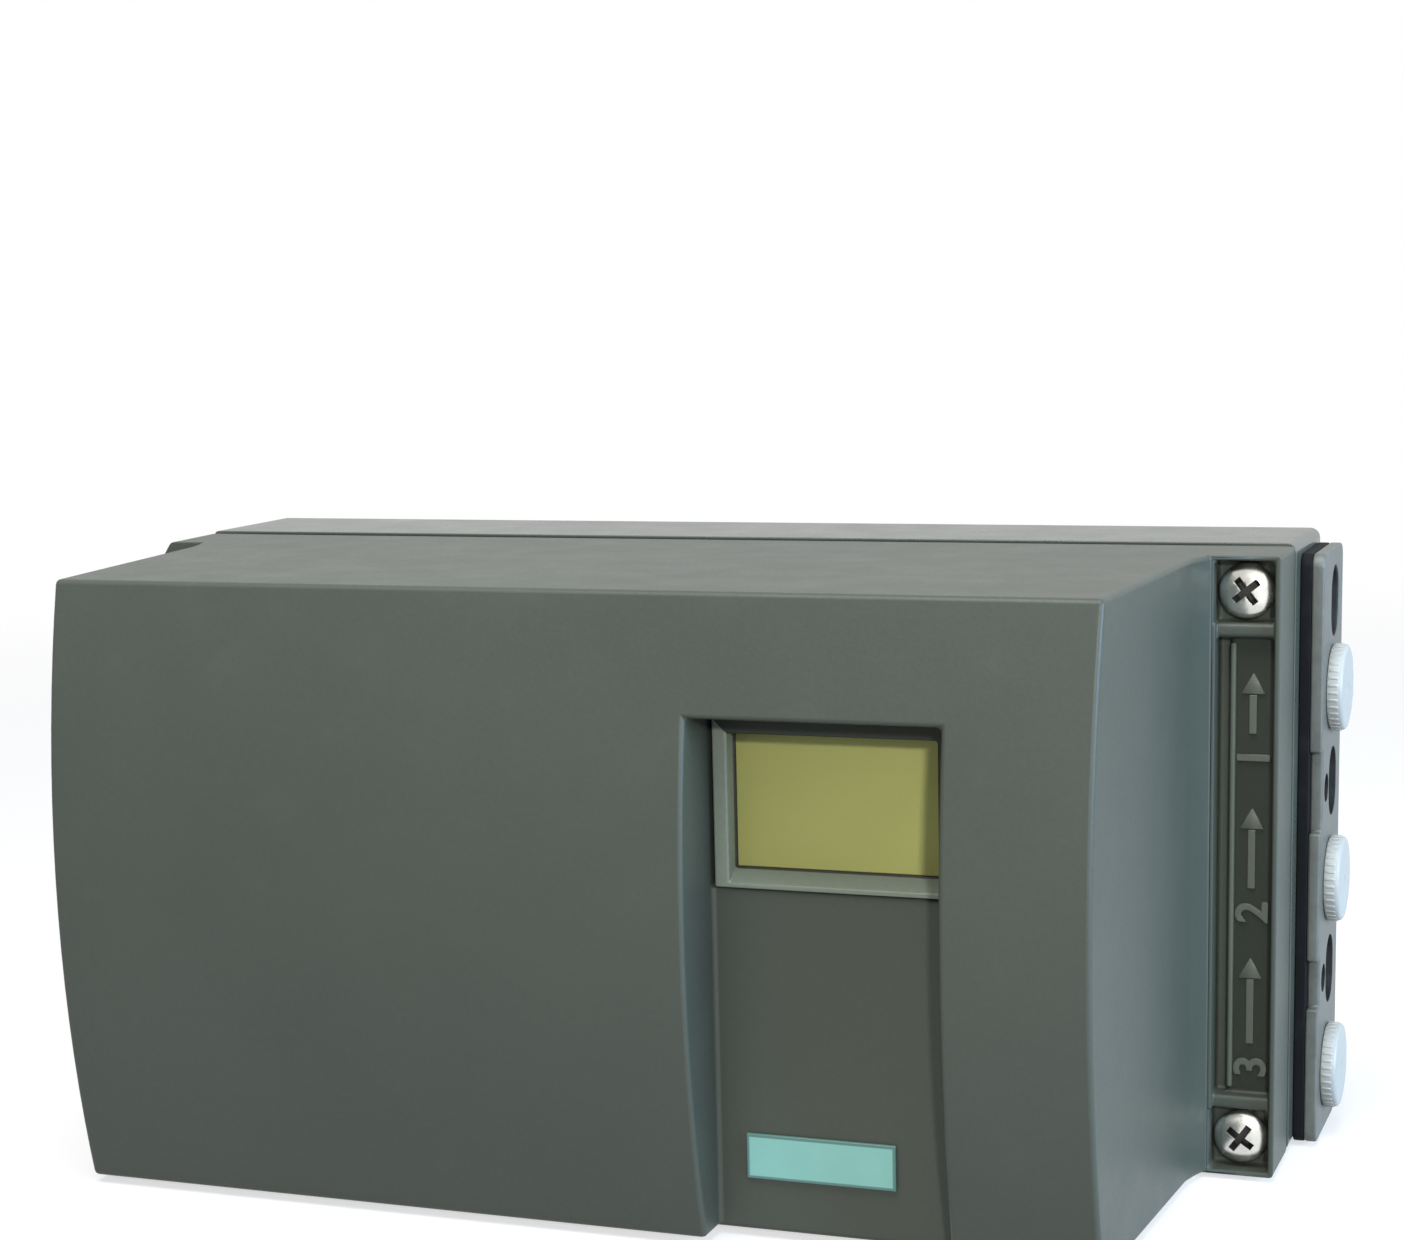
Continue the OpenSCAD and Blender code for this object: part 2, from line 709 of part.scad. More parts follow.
// A round control on the front of the valve block, with a screwdriver slot
module control(x, head_r, head_h, tint) {
    color(tint) difference() {
        union() {
            rod_y(head_r, x, control_z, valve_front_y - run - head_h, valve_front_y - run);
            rod_y(control_stem_r, x, control_z, valve_front_y - run - eps, valve_front_y + control_stem);
        }
        box([x - head_r * 0.8, valve_front_y - run - head_h - 1, control_z - 0.5],
            [x + head_r * 0.8, valve_front_y - run - head_h + 1.2, control_z + 0.5]);
    }
}

module purge_selector() { control(purge_x, 5, 4, "gold"); }
module restrictor_left() { control(restrictor_xs[0], 3.4, 2.6, "goldenrod"); }
module restrictor_right() { control(restrictor_xs[1], 3.4, 2.6, "goldenrod"); }

module exhaust_silencer() {
    color("peru") difference() {
        rod_y(silencer_r, silencer_x, silencer_z, -back_wall, -0.4);
        for (i = [0 : 5]) rod_y(0.9, silencer_x + 3.6 * cos(60 * i), silencer_z + 3.6 * sin(60 * i), -1.6, 0);
    }
}

// Cable entries on the left: a gland and a blanking plug

module entry_hex(x0, x1, z, across) {
    translate([x0, entry_y, z]) rotate([0, 90, 0]) cylinder(r = across / 2 / cos(30), h = x1 - x0, $fn = 6);
}

module gland_body() {
    color("black") difference() {
        union() {
            entry_hex(gland_neck_x, entry_face_x, entry_zs[0], entry_af);
            rod_x(entry_r, entry_y, entry_zs[0], entry_face_x - eps, -cavity_x);
            rod_x(gland_neck_r, entry_y, entry_zs[0], gland_neck_x - gland_neck, gland_neck_x + eps);
        }
        rod_x(gland_bore_r, entry_y, entry_zs[0], gland_neck_x - gland_neck - 1, -cavity_x + 1);
    }
}

module gland_seal() {
    color("dimgray") difference() {
        union() {
            rod_x(gland_bore_r - seat, entry_y, entry_zs[0], gland_seal_x - 0.1 - eps, gland_seal_x + 4);
            rod_x(gland_neck_r - 0.6, entry_y, entry_zs[0], gland_seal_x - gland_seal_len + 4,
                gland_seal_x - 0.1);
        }
        rod_x(cable_r, entry_y, entry_zs[0], gland_seal_x - gland_seal_len, gland_seal_x + 5);
    }
}

module gland_nut() {
    dome = 5;
    nut_bore = gland_neck_r + run;
    color("black") difference() {
        union() {
            entry_hex(gland_nut_x + dome, gland_neck_x - gland_play, entry_zs[0], entry_af);
            translate([gland_nut_x, entry_y, entry_zs[0]]) rotate([0, 90, 0])
                cylinder(r1 = entry_af / 2 - 4, r2 = entry_af / 2 - 0.3, h = dome + eps);
        }
        rod_x(nut_bore, entry_y, entry_zs[0], gland_seal_x - gland_seal_len + 3.6, gland_neck_x);
        rod_x(cable_r + 1, entry_y, entry_zs[0], gland_nut_x - 1, gland_neck_x);
    }
}

module blanking_plug() {
    color("black") difference() {
        union() {
            entry_hex(gland_neck_x, entry_face_x, entry_zs[1], entry_af);
            rod_x(entry_r, entry_y, entry_zs[1], entry_face_x - eps, -cavity_x);
        }
        rod_x(entry_r - 2, entry_y, entry_zs[1], entry_face_x, -cavity_x + 1);
        box([gland_neck_x - 1, entry_y - key_slot_half, entry_zs[1] - key_slot_w / 2],
            [gland_neck_x + key_slot_depth, entry_y + key_slot_half, entry_zs[1] + key_slot_w / 2]);
    }
}

module entry_o_rings() {
    color("black") for (z = entry_zs) difference() {
        rod_x(entry_r + 1.6, entry_y, z, entry_face_x, -half_w);
        rod_x(entry_r + run, entry_y, z, entry_face_x - 1, -half_w + 1);
    }
}

// Wiring terminals on the left

module terminal_carrier() {
    color("lightgray") difference() {
        union() {
            box([carrier_x0, carrier_y - carrier_t, -carrier_h / 2],
                [carrier_x0 + carrier_w, carrier_y, carrier_h / 2]);
            for (p = carrier_legs) rod_y(leg_r, p[0], p[1], carrier_y - eps, -back_wall);
        }
        for (p = carrier_legs) rod_y(rear_screw_r + run, p[0], p[1], -14, 1);
        for (s = [-1, 1]) rod_y(shield_screw_r + run, shield_x + shield_w / 2, s * shield_screw_z,
            carrier_y - carrier_t - 1, carrier_y + 1);
    }
}

module carrier_screws() {
    color("silver") for (p = carrier_legs)
        rear_screw(p[0], p[1], 0, -13, rear_screw_r, rear_head_r, rear_head_h);
}

module terminal_strip() {
    color("seagreen") difference() {
        union() {
            box([terminal_x, terminal_y0 + terminal_step, -terminal_half_z],
                [terminal_x + terminal_w, terminal_y1, terminal_half_z]);
            box([terminal_x + terminal_step, terminal_y0, -terminal_half_z],
                [terminal_x + terminal_w, terminal_y0 + terminal_step + eps, terminal_half_z]);
        }
        for (z = terminal_zs) {
            rod_y(terminal_screw_r, terminal_screw_x, z, terminal_y0 - 1, terminal_y0 + 7);
            box([terminal_x - 1, terminal_y1 - 7, z - 1.9], [terminal_x + 7, terminal_y1 - 2.5, z + 1.9]);
        }
    }
}

module terminal_screws() {
    color("silver") for (z = terminal_zs) difference() {
        rod_y(terminal_screw_r - run, terminal_screw_x, z, terminal_y0 + 2, terminal_y0 + 7);
        box([terminal_screw_x - 3, terminal_y0 + 1, z - 0.35],
            [terminal_screw_x + 3, terminal_y0 + 3, z + 0.35]);
    }
}

module shield_plate() {
    color("silver") difference() {
        union() {
            box([shield_x, terminal_y1 - shield_t, -shield_h / 2],
                [shield_x + shield_w, terminal_y1, shield_h / 2]);
            box([shield_x + shield_w - shield_t, terminal_y1 - shield_lip, -shield_h / 2],
                [shield_x + shield_w, terminal_y1 - shield_t + eps, shield_h / 2]);
        }
        for (s = [-1, 1]) rod_y(shield_screw_r + run, shield_x + shield_w / 2, s * shield_screw_z,
            terminal_y1 - 5, terminal_y1 + 1);
        for (i = [-1, 0, 1]) translate([0, 0, i * 12]) along_y(terminal_y1 - 3, terminal_y1 + 1)
            translate([shield_x + 3.4, 0]) slot(1.1, 3);
    }
}

module shield_screws() {
    color("silver") for (s = [-1, 1])
        pan_screw(shield_x + shield_w / 2, s * shield_screw_z, terminal_y1 - shield_t, carrier_y + 1,
            shield_screw_r, 2.8, 1.8);
}

// Electronics, display and keys

module electronics_tray() {
    post = 3.2;
    color("slategray") difference() {
        union() {
            difference() {
                box([tray_x0, board_back_y, tray_z0], [tray_x1, valve_front_y, tray_z1]);
                box([tray_x0 + tray_wall, board_back_y + tray_wall, tray_z0 + tray_wall],
                    [tray_x1 - tray_wall, valve_front_y + 1, tray_z1 - tray_wall]);
            }
            for (p = board_screw_at) rod_y(post, p[0], p[1], board_back_y, board_back_y + 9);
        }
        for (p = board_screw_at) rod_y(board_screw_r + seat, p[0], p[1], board_back_y - 1, board_back_y + 7);
        box([tray_x0 - 1, lead_rise - 3, pot_z - 5], [tray_x0 + tray_wall + 1, lead_rise + 3, pot_z + 5]);
    }
}

module main_board() {
    color("darkgreen") difference() {
        box([tray_x0 + 0.5, board_front_y, tray_z0 + 0.5], [tray_x1 - 0.5, board_back_y, tray_z1 - 0.5]);
        for (p = board_screw_at) rod_y(board_screw_r + run, p[0], p[1], board_front_y - 1, board_back_y + 1);
    }
}

module board_screws() {
    color("silver") for (p = board_screw_at)
        pan_screw(p[0], p[1], board_front_y, board_back_y + 6, board_screw_r, 2.6, 1.7);
}

module board_components() {
    chip_x = tray_x0 + 3;
    color("black") {
        for (i = [0, 1]) box([chip_x, board_front_y - 1.6, disp_z - 4 - 12 * i],
            [chip_x + 3.4, board_front_y, disp_z + 4 - 12 * i]);
        for (i = [0 : 3]) box([disp_x - 15 + 8 * i, board_front_y - 1.2, tray_z0 + 1],
            [disp_x - 11 + 8 * i, board_front_y, tray_z0 + 2.8]);
    }
}

module lcd_holder() {
    color("black") difference() {
        box([disp_x - lcd_w / 2 - lcd_border, lcd_front_y - 0.4, disp_z - lcd_h / 2 - lcd_border],
            [disp_x + lcd_w / 2 + lcd_border, board_front_y, disp_z + lcd_h / 2 + lcd_border]);
        box([disp_x - lcd_w / 2 - run, lcd_front_y - 1, disp_z - lcd_h / 2 - run],
            [disp_x + lcd_w / 2 + run, lcd_front_y + lcd_t, disp_z + lcd_h / 2 + run]);
    }
}

module lcd_glass() {
    color("darkkhaki") box([disp_x - lcd_w / 2, lcd_front_y, disp_z - lcd_h / 2],
        [disp_x + lcd_w / 2, lcd_front_y + lcd_t, disp_z + lcd_h / 2]);
}

module button_guide() {
    half_x = button_pitch + button_r + 2;
    half_z = button_r + 2;
    color("slategray") {
        difference() {
            box([disp_x - half_x, guide_y0, button_z - half_z],
                [disp_x + half_x, guide_y1, button_z + half_z]);
            for (x = button_xs) rod_y(button_r + 0.15, x, button_z, guide_y0 - 1, guide_y1 + 1);
        }
        for (x = [-0.5, 0.5], s = [-1, 1])
            translate([disp_x + x * button_pitch, 0, button_z + s * half_z])
                box([-1, guide_y1 - eps, -1], [1, board_front_y, 1]);
    }
}

module button_switches() {
    color("black") for (x = button_xs) difference() {
        box([x - switch_w / 2, switch_y, button_z - switch_w / 2],
            [x + switch_w / 2, board_front_y, button_z + switch_w / 2]);
        rod_y(button_stem_r + run, x, button_z, switch_y - 1, switch_y + button_travel + 1.2);
    }
}

module button(x) {
    color("gainsboro") {
        rod_y(button_r, x, button_z, button_cap_y - button_cap_t, button_cap_y);
        rod_y(button_stem_r, x, button_z, button_cap_y - eps, switch_y + 0.4);
    }
}

module button_hand() { button(button_xs[0]); }
module button_down() { button(button_xs[1]); }
module button_up() { button(button_xs[2]); }

// Feedback shaft, clutch, gears and potentiometer

module shaft_bush() {
    color("darkgoldenrod") difference() {
        rod_y(bush_r, shaft_x, shaft_z, hub_y, -seal_t - 0.4);
        rod_y(shaft_r + run, shaft_x, shaft_z, hub_y - 1, 1);
    }
}

module shaft_seal() {
    color("black") difference() {
        rod_y(seal_r, shaft_x, shaft_z, -seal_t - 0.25, -0.3);
        rod_y(shaft_r + run, shaft_x, shaft_z, -seal_t - 1, 1);
    }
}

module feedback_shaft() {
    color("lightgray") difference() {
        rod_y(shaft_r, shaft_x, shaft_z, shaft_end_y, shaft_out);
        shaft_groove(circlip_y, circlip_t, groove_depth);
        shaft_groove(-seal_groove, seal_groove, groove_depth / 2);
    }
}

// A ring groove cut into the shaft between y and y + width
module shaft_groove(y, width, depth) {
    difference() {
        rod_y(shaft_r + 1, shaft_x, shaft_z, y, y + width);
        rod_y(shaft_r - depth, shaft_x, shaft_z, y - 1, y + width + 1);
    }
}

module shaft_circlip() {
    color("darkgray") difference() {
        rod_y(circlip_r, shaft_x, shaft_z, circlip_y + run, circlip_y + circlip_t - run);
        rod_y(shaft_r - groove_depth + seat, shaft_x, shaft_z, circlip_y - 1, circlip_y + circlip_t + 1);
        box([shaft_x - 2.2, circlip_y - 1, shaft_z],
            [shaft_x + 2.2, circlip_y + circlip_t + 1, shaft_z + circlip_r + 1]);
    }
}

module drive_gear() {
    hub = 7;
    color("ivory") difference() {
        union() {
            along_y(gear_front_y, gear_y) translate([shaft_x, shaft_z])
                polygon(gear_outline(drive_teeth, gear_module, mesh_gap, 90));
            rod_y(hub, shaft_x, shaft_z, gear_y - eps, circlip_y - 0.4);
        }
        rod_y(shaft_r + seat, shaft_x, shaft_z, gear_front_y - 1, circlip_y + 1);
    }
}

module clutch_spring() {
    color("silver") difference() {
        rod_y(shaft_r + 5, shaft_x, shaft_z, gear_front_y - spring_t, gear_front_y);
        rod_y(shaft_r + seat, shaft_x, shaft_z, gear_front_y - spring_t - 1, gear_front_y + 1);
    }
}

module clutch_wheel() {
    grips = 36;
    color("gold") difference() {
        union() {
            along_y(clutch_front_y, clutch_y) translate([shaft_x, shaft_z])
                polygon([for (i = [0 : 2 * grips - 1])
                    (clutch_r - (i % 2) * 0.9) * [cos(180 * i / grips), sin(180 * i / grips)]]);
        }
        rod_y(shaft_r + seat, shaft_x, shaft_z, clutch_front_y - 1, clutch_y + 1);
        difference() {
            rod_y(clutch_r - 3, shaft_x, shaft_z, clutch_front_y - 1, clutch_front_y + 3);
            rod_y(shaft_r + 4, shaft_x, shaft_z, clutch_front_y - 2, clutch_front_y + 4);
        }
    }
}

module clutch_nut() {
    color("silver") difference() {
        translate([shaft_x, clutch_front_y, shaft_z]) rotate([90, 0, 0])
            cylinder(r = shaft_r + 3, h = nut_t, $fn = 6);
        rod_y(shaft_r + seat, shaft_x, shaft_z, clutch_front_y - nut_t - 1, clutch_front_y + 1);
    }
}

module pot_bracket() {
    color("silver") difference() {
        union() {
            box([pot_x - bracket_half, bracket_y, pot_z - 6], [bracket_right, pot_y, pot_z + post_rise + 4]);
            rod_y(pot_r + 2, pot_x, pot_z, bracket_y, pot_y);
        }
        rod_y(pot_spindle_r + run, pot_x, pot_z, bracket_y - 1, pot_y + 1);
        for (p = bracket_posts) rod_y(bracket_screw_r + run, p[0], p[1], bracket_y - 1, pot_y + 1);
        rod_y(2 + run, selector_x, selector_z, bracket_y - 1, pot_y + 1);
    }
}

module bracket_screws() {
    color("silver") for (p = bracket_posts)
        pan_screw(p[0], p[1], bracket_y, pot_y + 7, bracket_screw_r, 2.6, 1.6);
}

module potentiometer() {
    color("royalblue") difference() {
        union() {
            rod_y(pot_r, pot_x, pot_z, pot_y, pot_y + pot_len);
            box([pot_x + pot_r - 2, pot_y + 2, pot_z - 5], [pot_x + pot_r + 3, pot_y + 6, pot_z + 5]);
        }
        rod_y(pot_spindle_r + run, pot_x, pot_z, pot_y - 1, pot_y + 7);
    }
}

module pot_gear() {
    color("ivory") {
        along_y(gear_front_y, gear_y) translate([pot_x, pot_z])
            polygon(gear_outline(pot_teeth, gear_module, mesh_gap, -90 + 180 / pot_teeth));
        rod_y(pot_spindle_r, pot_x, pot_z, gear_y - eps, pot_y + 6);
    }
}

module ratio_selector() {
    color("gold") {
        rod_y(4.5, selector_x, selector_z, bracket_y - 5, bracket_y - run);
        box([selector_x - 1.8, bracket_y - 5, selector_z], [selector_x + 1.8, bracket_y - 2, selector_z + 11]);
        rod_y(2, selector_x, selector_z, bracket_y - run - eps, pot_y);
    }
}

// Flat lead from the potentiometer's tag block, forward and across to the tray
module pot_cable() {
    lead_h = 6;
    lead_t = 0.8;
    rise_x = tray_x0 - lead_gap;
    z0 = pot_z - lead_h / 2;
    color("lightgray") {
        box([pot_x + pot_r + 3, pot_y + 3, z0], [rise_x, pot_y + 3 + lead_t, z0 + lead_h]);
        box([rise_x - lead_t, lead_rise, z0], [rise_x, pot_y + 3 + lead_t, z0 + lead_h]);
        box([rise_x - lead_t, lead_rise, z0], [tray_x0 + tray_wall + 1, lead_rise + lead_t, z0 + lead_h]);
    }
}

// Cover, window, label and cover screws

function body_half(y, w0, w1) = (w0 + (w1 - w0) * (y - front_y) / cover_depth) / 2;

// Plan of the cover's body, from ahead of the crown back to y_end
module body_plan(inset, y_end) {
    y0 = front_y - front_crown - 2;
    a = body_half(y0, cover_front_w, cover_root_w) - inset;
    b = body_half(y_end, cover_front_w, cover_root_w) - inset;
    polygon([[-a, y0], [a, y0], [b, y_end], [-b, y_end]]);
}

// Side view of the cover's body: sloping top and bottom under a crowned front
module body_side(inset, y_end) {
    y0 = front_y - front_crown - 2;
    a = body_half(y0, cover_front_h, cover_root_h) - inset;
    b = body_half(y_end, cover_front_h, cover_root_h) - inset;
    crown_r = (pow(cover_front_h / 2, 2) + pow(front_crown, 2)) / (2 * front_crown);
    intersection() {
        polygon([[y0, -a], [y0, a], [y_end, b], [y_end, -b]]);
        translate([front_y - front_crown + crown_r, 0]) circle(crown_r - inset, $fn = 200);
    }
}

module cover_body(inset, y_end, flanges) {
    flare_y = shoulder_y - flare_len;
    flare_x = body_half(flare_y, cover_front_w, cover_root_w);
    intersection() {
        along_z(-housing_h, housing_h) {
            body_plan(inset, y_end);
            if (flanges) {
                translate([-half_w, shoulder_y]) square([housing_w, shoulder_depth]);
                for (s = [-1, 1]) scale([s, 1]) difference() {
                    translate([flare_x - 3, flare_y]) square([6, flare_len + eps]);
                    translate([flare_x + flare_r, flare_y]) circle(flare_r);
                }
            }
        }
        along_x(-housing_w, housing_w) body_side(inset, y_end);
    }
}

// Hollows in one side flange: a pocket at each screw, screw_h from the middle, and a groove between
module flange_hollows(screw_h) {
    front = shoulder_y - 20;
    groove_half_z = screw_h - pocket_half_z - rib_t;
    for (s = [-1, 1]) {
        box([screw_x - pocket_half_x, front, s * screw_h - pocket_half_z],
            [groove_x1, screw_seat_y, s * screw_h + pocket_half_z]);
        box([groove_x0, front, s * (groove_half_z + rib_t / 2) - rib_t / 2 - eps],
            [groove_x1, shoulder_y + 1, s * (groove_half_z + rib_t / 2) + rib_t / 2 + eps]);
    }
    box([groove_x0, front, -groove_half_z], [groove_x1, panel_y, groove_half_z]);
    box([groove_x0, front, -groove_half_z], [groove_x0 + drain_w, drain_y, groove_half_z]);
}

module front_cover() {
    cavity_back = seat_y + 1;
    color("darkslategray") difference() {
        cover_body(0, seat_y, true);
        difference() {
            cover_body(cover_wall, cavity_back, false);
            box([channel_x0 - cover_wall, front_y - 20, -housing_h],
                [channel_x1 + cover_wall, floor_back_y, channel_top + cover_wall]);
        }
        box([channel_x0, front_y - 20, -housing_h], [channel_x1, floor_y, channel_top]);
        box([disp_x - frame_w / 2, floor_y - 1, disp_z - window_h / 2],
            [disp_x + frame_w / 2, floor_back_y + 1, disp_z + window_h / 2]);
        box([channel_x0, floor_y - 1, disp_z - window_h / 2],
            [channel_x1, floor_y + frame_groove, disp_z + window_h / 2]);
        flange_hollows(screw_z);
        mirror([1, 0, 0]) flange_hollows(left_screw_z);
        left_corners(shoulder_y - 1, seat_y + 1);
        for (p = cover_screw_at) rod_y(screw_r + loose, p[0], p[1], screw_seat_y - 1, seat_y + 1);
    }
}

module window_frame() {
    slope = 1.5;
    color("dimgray") difference() {
        box([disp_x - frame_w / 2 + seat, frame_front_y, disp_z - window_h / 2 + seat],
            [disp_x + frame_w / 2 - seat, pane_back_y, disp_z + window_h / 2 - seat]);
        box([disp_x - open_w / 2, frame_front_y - 1, disp_z - open_h / 2],
            [disp_x + open_w / 2, pane_back_y + 1, disp_z + open_h / 2]);
        box([disp_x - open_w / 2 - pane_lap, pane_y, disp_z - open_h / 2 - pane_lap],
            [disp_x + open_w / 2 + pane_lap, pane_back_y + 1, disp_z + open_h / 2 + pane_lap]);
        along_x(disp_x - open_w / 2, disp_x + open_w / 2) polygon([
            [frame_front_y - eps, disp_z - open_h / 2 - slope], [frame_front_y - eps, disp_z],
            [pane_y - 0.4, disp_z], [pane_y - 0.4, disp_z - open_h / 2]]);
    }
}

module window_pane() {
    half_x = open_w / 2 + pane_lap - seat;
    half_z = open_h / 2 + pane_lap - seat;
    color("lightgray", 0.4)
        box([disp_x - half_x, pane_y, disp_z - half_z], [disp_x + half_x, pane_back_y, disp_z + half_z]);
}

module label_plate() {
    label_x = channel_x0 + label_inset;
    label_z = -cover_front_h / 2 + label_rise - label_h / 2;
    color("mediumaquamarine")
        box([label_x, floor_y - label_t, label_z], [label_x + label_w, floor_y, label_z + label_h]);
}

module cover_screws() {
    color("silver") for (p = cover_screw_at)
        pan_screw(p[0], p[1], screw_seat_y, screw_end_y, screw_r, screw_head_r, screw_head_h);
}

// Shifts the housing's frame so that the origin is on the feedback shaft
module in_shaft_frame() {
    translate([-shaft_x, 0, -shaft_z]) children();
}

in_shaft_frame() {
    base_housing();
    cover_gasket();
    cover_screw_inserts();
    mounting_inserts();
    port_gasket();
    port_plate();
    port_plate_screws();
    valve_block();
    valve_block_screws();
    piezo_valve_unit();
    exhaust_silencer();
    gland_body();
    gland_seal();
    gland_nut();
    blanking_plug();
    entry_o_rings();
    terminal_carrier();
    carrier_screws();
    terminal_strip();
    terminal_screws();
    shield_plate();
    shield_screws();
    electronics_tray();
    main_board();
    board_screws();
    board_components();
    lcd_holder();
    lcd_glass();
    button_guide();
    button_switches();
    button_hand();
    button_down();
    button_up();
    pot_bracket();
    bracket_screws();
    potentiometer();
    pot_cable();
    pot_gear();
    ratio_selector();
    shaft_bush();
    shaft_seal();
    feedback_shaft();
    shaft_circlip();
    drive_gear();
    clutch_spring();
    clutch_wheel();
    clutch_nut();
    purge_selector();
    restrictor_left();
    restrictor_right();
    port_plug_upper();
    port_plug_middle();
    port_plug_lower();
    front_cover();
    window_frame();
    window_pane();
    label_plate();
    cover_screws();
}
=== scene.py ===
"""Dresses the valve positioner's frame and sets it in a plain pale studio."""

import json
import logging
import math
import random
from dataclasses import dataclass, replace
from enum import Enum
from typing import Any, Callable, ClassVar, Iterable, Sequence

import bmesh
import bpy
from bmesh.types import BMEdge, BMesh, BMFace, BMLoop, BMVert
from mathutils import Matrix, Vector

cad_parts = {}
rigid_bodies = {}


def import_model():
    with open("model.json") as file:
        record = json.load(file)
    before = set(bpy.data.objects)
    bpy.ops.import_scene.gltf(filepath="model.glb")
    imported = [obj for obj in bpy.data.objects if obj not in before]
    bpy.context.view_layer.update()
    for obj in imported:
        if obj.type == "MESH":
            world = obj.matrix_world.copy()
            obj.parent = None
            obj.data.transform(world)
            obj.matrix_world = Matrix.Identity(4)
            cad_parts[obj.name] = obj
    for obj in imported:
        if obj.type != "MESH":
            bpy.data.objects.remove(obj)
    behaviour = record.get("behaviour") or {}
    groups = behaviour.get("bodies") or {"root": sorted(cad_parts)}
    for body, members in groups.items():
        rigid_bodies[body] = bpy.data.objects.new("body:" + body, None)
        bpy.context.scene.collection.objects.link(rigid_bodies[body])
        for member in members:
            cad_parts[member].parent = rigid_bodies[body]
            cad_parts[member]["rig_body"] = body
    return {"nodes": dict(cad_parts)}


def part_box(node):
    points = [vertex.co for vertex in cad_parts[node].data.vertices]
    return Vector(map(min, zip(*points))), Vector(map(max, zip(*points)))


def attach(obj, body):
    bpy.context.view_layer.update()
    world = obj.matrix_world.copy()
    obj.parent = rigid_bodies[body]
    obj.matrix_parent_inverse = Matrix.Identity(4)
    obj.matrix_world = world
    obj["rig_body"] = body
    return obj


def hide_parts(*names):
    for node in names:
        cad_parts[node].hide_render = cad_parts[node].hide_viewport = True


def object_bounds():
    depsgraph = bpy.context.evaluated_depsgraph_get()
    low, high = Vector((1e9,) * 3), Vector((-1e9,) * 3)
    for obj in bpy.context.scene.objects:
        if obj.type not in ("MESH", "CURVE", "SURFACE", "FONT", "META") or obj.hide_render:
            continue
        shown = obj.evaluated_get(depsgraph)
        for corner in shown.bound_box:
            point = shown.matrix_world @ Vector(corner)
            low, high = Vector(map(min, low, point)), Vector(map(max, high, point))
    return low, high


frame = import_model()
CAD_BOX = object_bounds()

LOG = logging.getLogger("positioner")
MM = 0.001
FACING = 0.9
HOUSING_AT = Vector((20.0, 0.0, 8.0))
Colour = tuple[float, float, float]
Place = tuple[float, float, float]


def at(x: float, y: float, z: float) -> Vector:
    """Turns a place on the housing, in mm from its middle, into the frame's metres."""
    return (Vector((x, y, z)) + HOUSING_AT) * MM


def operator(operation: str, swapped: bool = False) -> Callable[..., "Value"]:
    """Makes a method that adds a Math node.

    Args:
        operation: The node's operation.
        swapped: Whether the other value goes first, as in an operator's reflected form.

    Returns:
        The method.
    """

    def method(value: "Value", other: "Value | float" = 0.0) -> "Value":
        """Works on this value and, where the operation has one, another value or a number."""
        pair = (other, value) if swapped else (value, other)
        return value.graph.math(operation, *pair)

    return method


class Value:
    """A number socket that adds Math nodes when it is used in an expression.

    above and below give 1 where the value is over or under a number and 0 elsewhere, larger gives the larger of
    two values, and part is what stands after the decimal point.
    """

    def __init__(self, graph: "Graph", socket: bpy.types.NodeSocket) -> None:
        """Keeps the socket and the graph that it belongs to."""
        self.graph = graph
        self.socket = socket

    __add__, __radd__ = operator("ADD"), operator("ADD", swapped=True)
    __sub__, __rsub__ = operator("SUBTRACT"), operator("SUBTRACT", swapped=True)
    __mul__, __rmul__ = operator("MULTIPLY"), operator("MULTIPLY", swapped=True)
    __truediv__, __rtruediv__ = operator("DIVIDE"), operator("DIVIDE", swapped=True)
    __abs__ = operator("ABSOLUTE")
    above, below, larger = operator("GREATER_THAN"), operator("LESS_THAN"), operator("MAXIMUM")
    sine, part, root = operator("SINE"), operator("FRACT"), operator("SQRT")

    def rise(self, start: float, end: float) -> "Value":
        """Goes smoothly from 0 at start to 1 at end.

        Args:
            start: The value that gives 0.
            end: The value that gives 1.

        Returns:
            The smooth step.
        """
        node = self.graph.node(
            "ShaderNodeMapRange",
            {"interpolation_type": "SMOOTHSTEP"},
            {"Value": self, "From Min": start, "From Max": end},
        )
        return Value(self.graph, node.outputs["Result"])


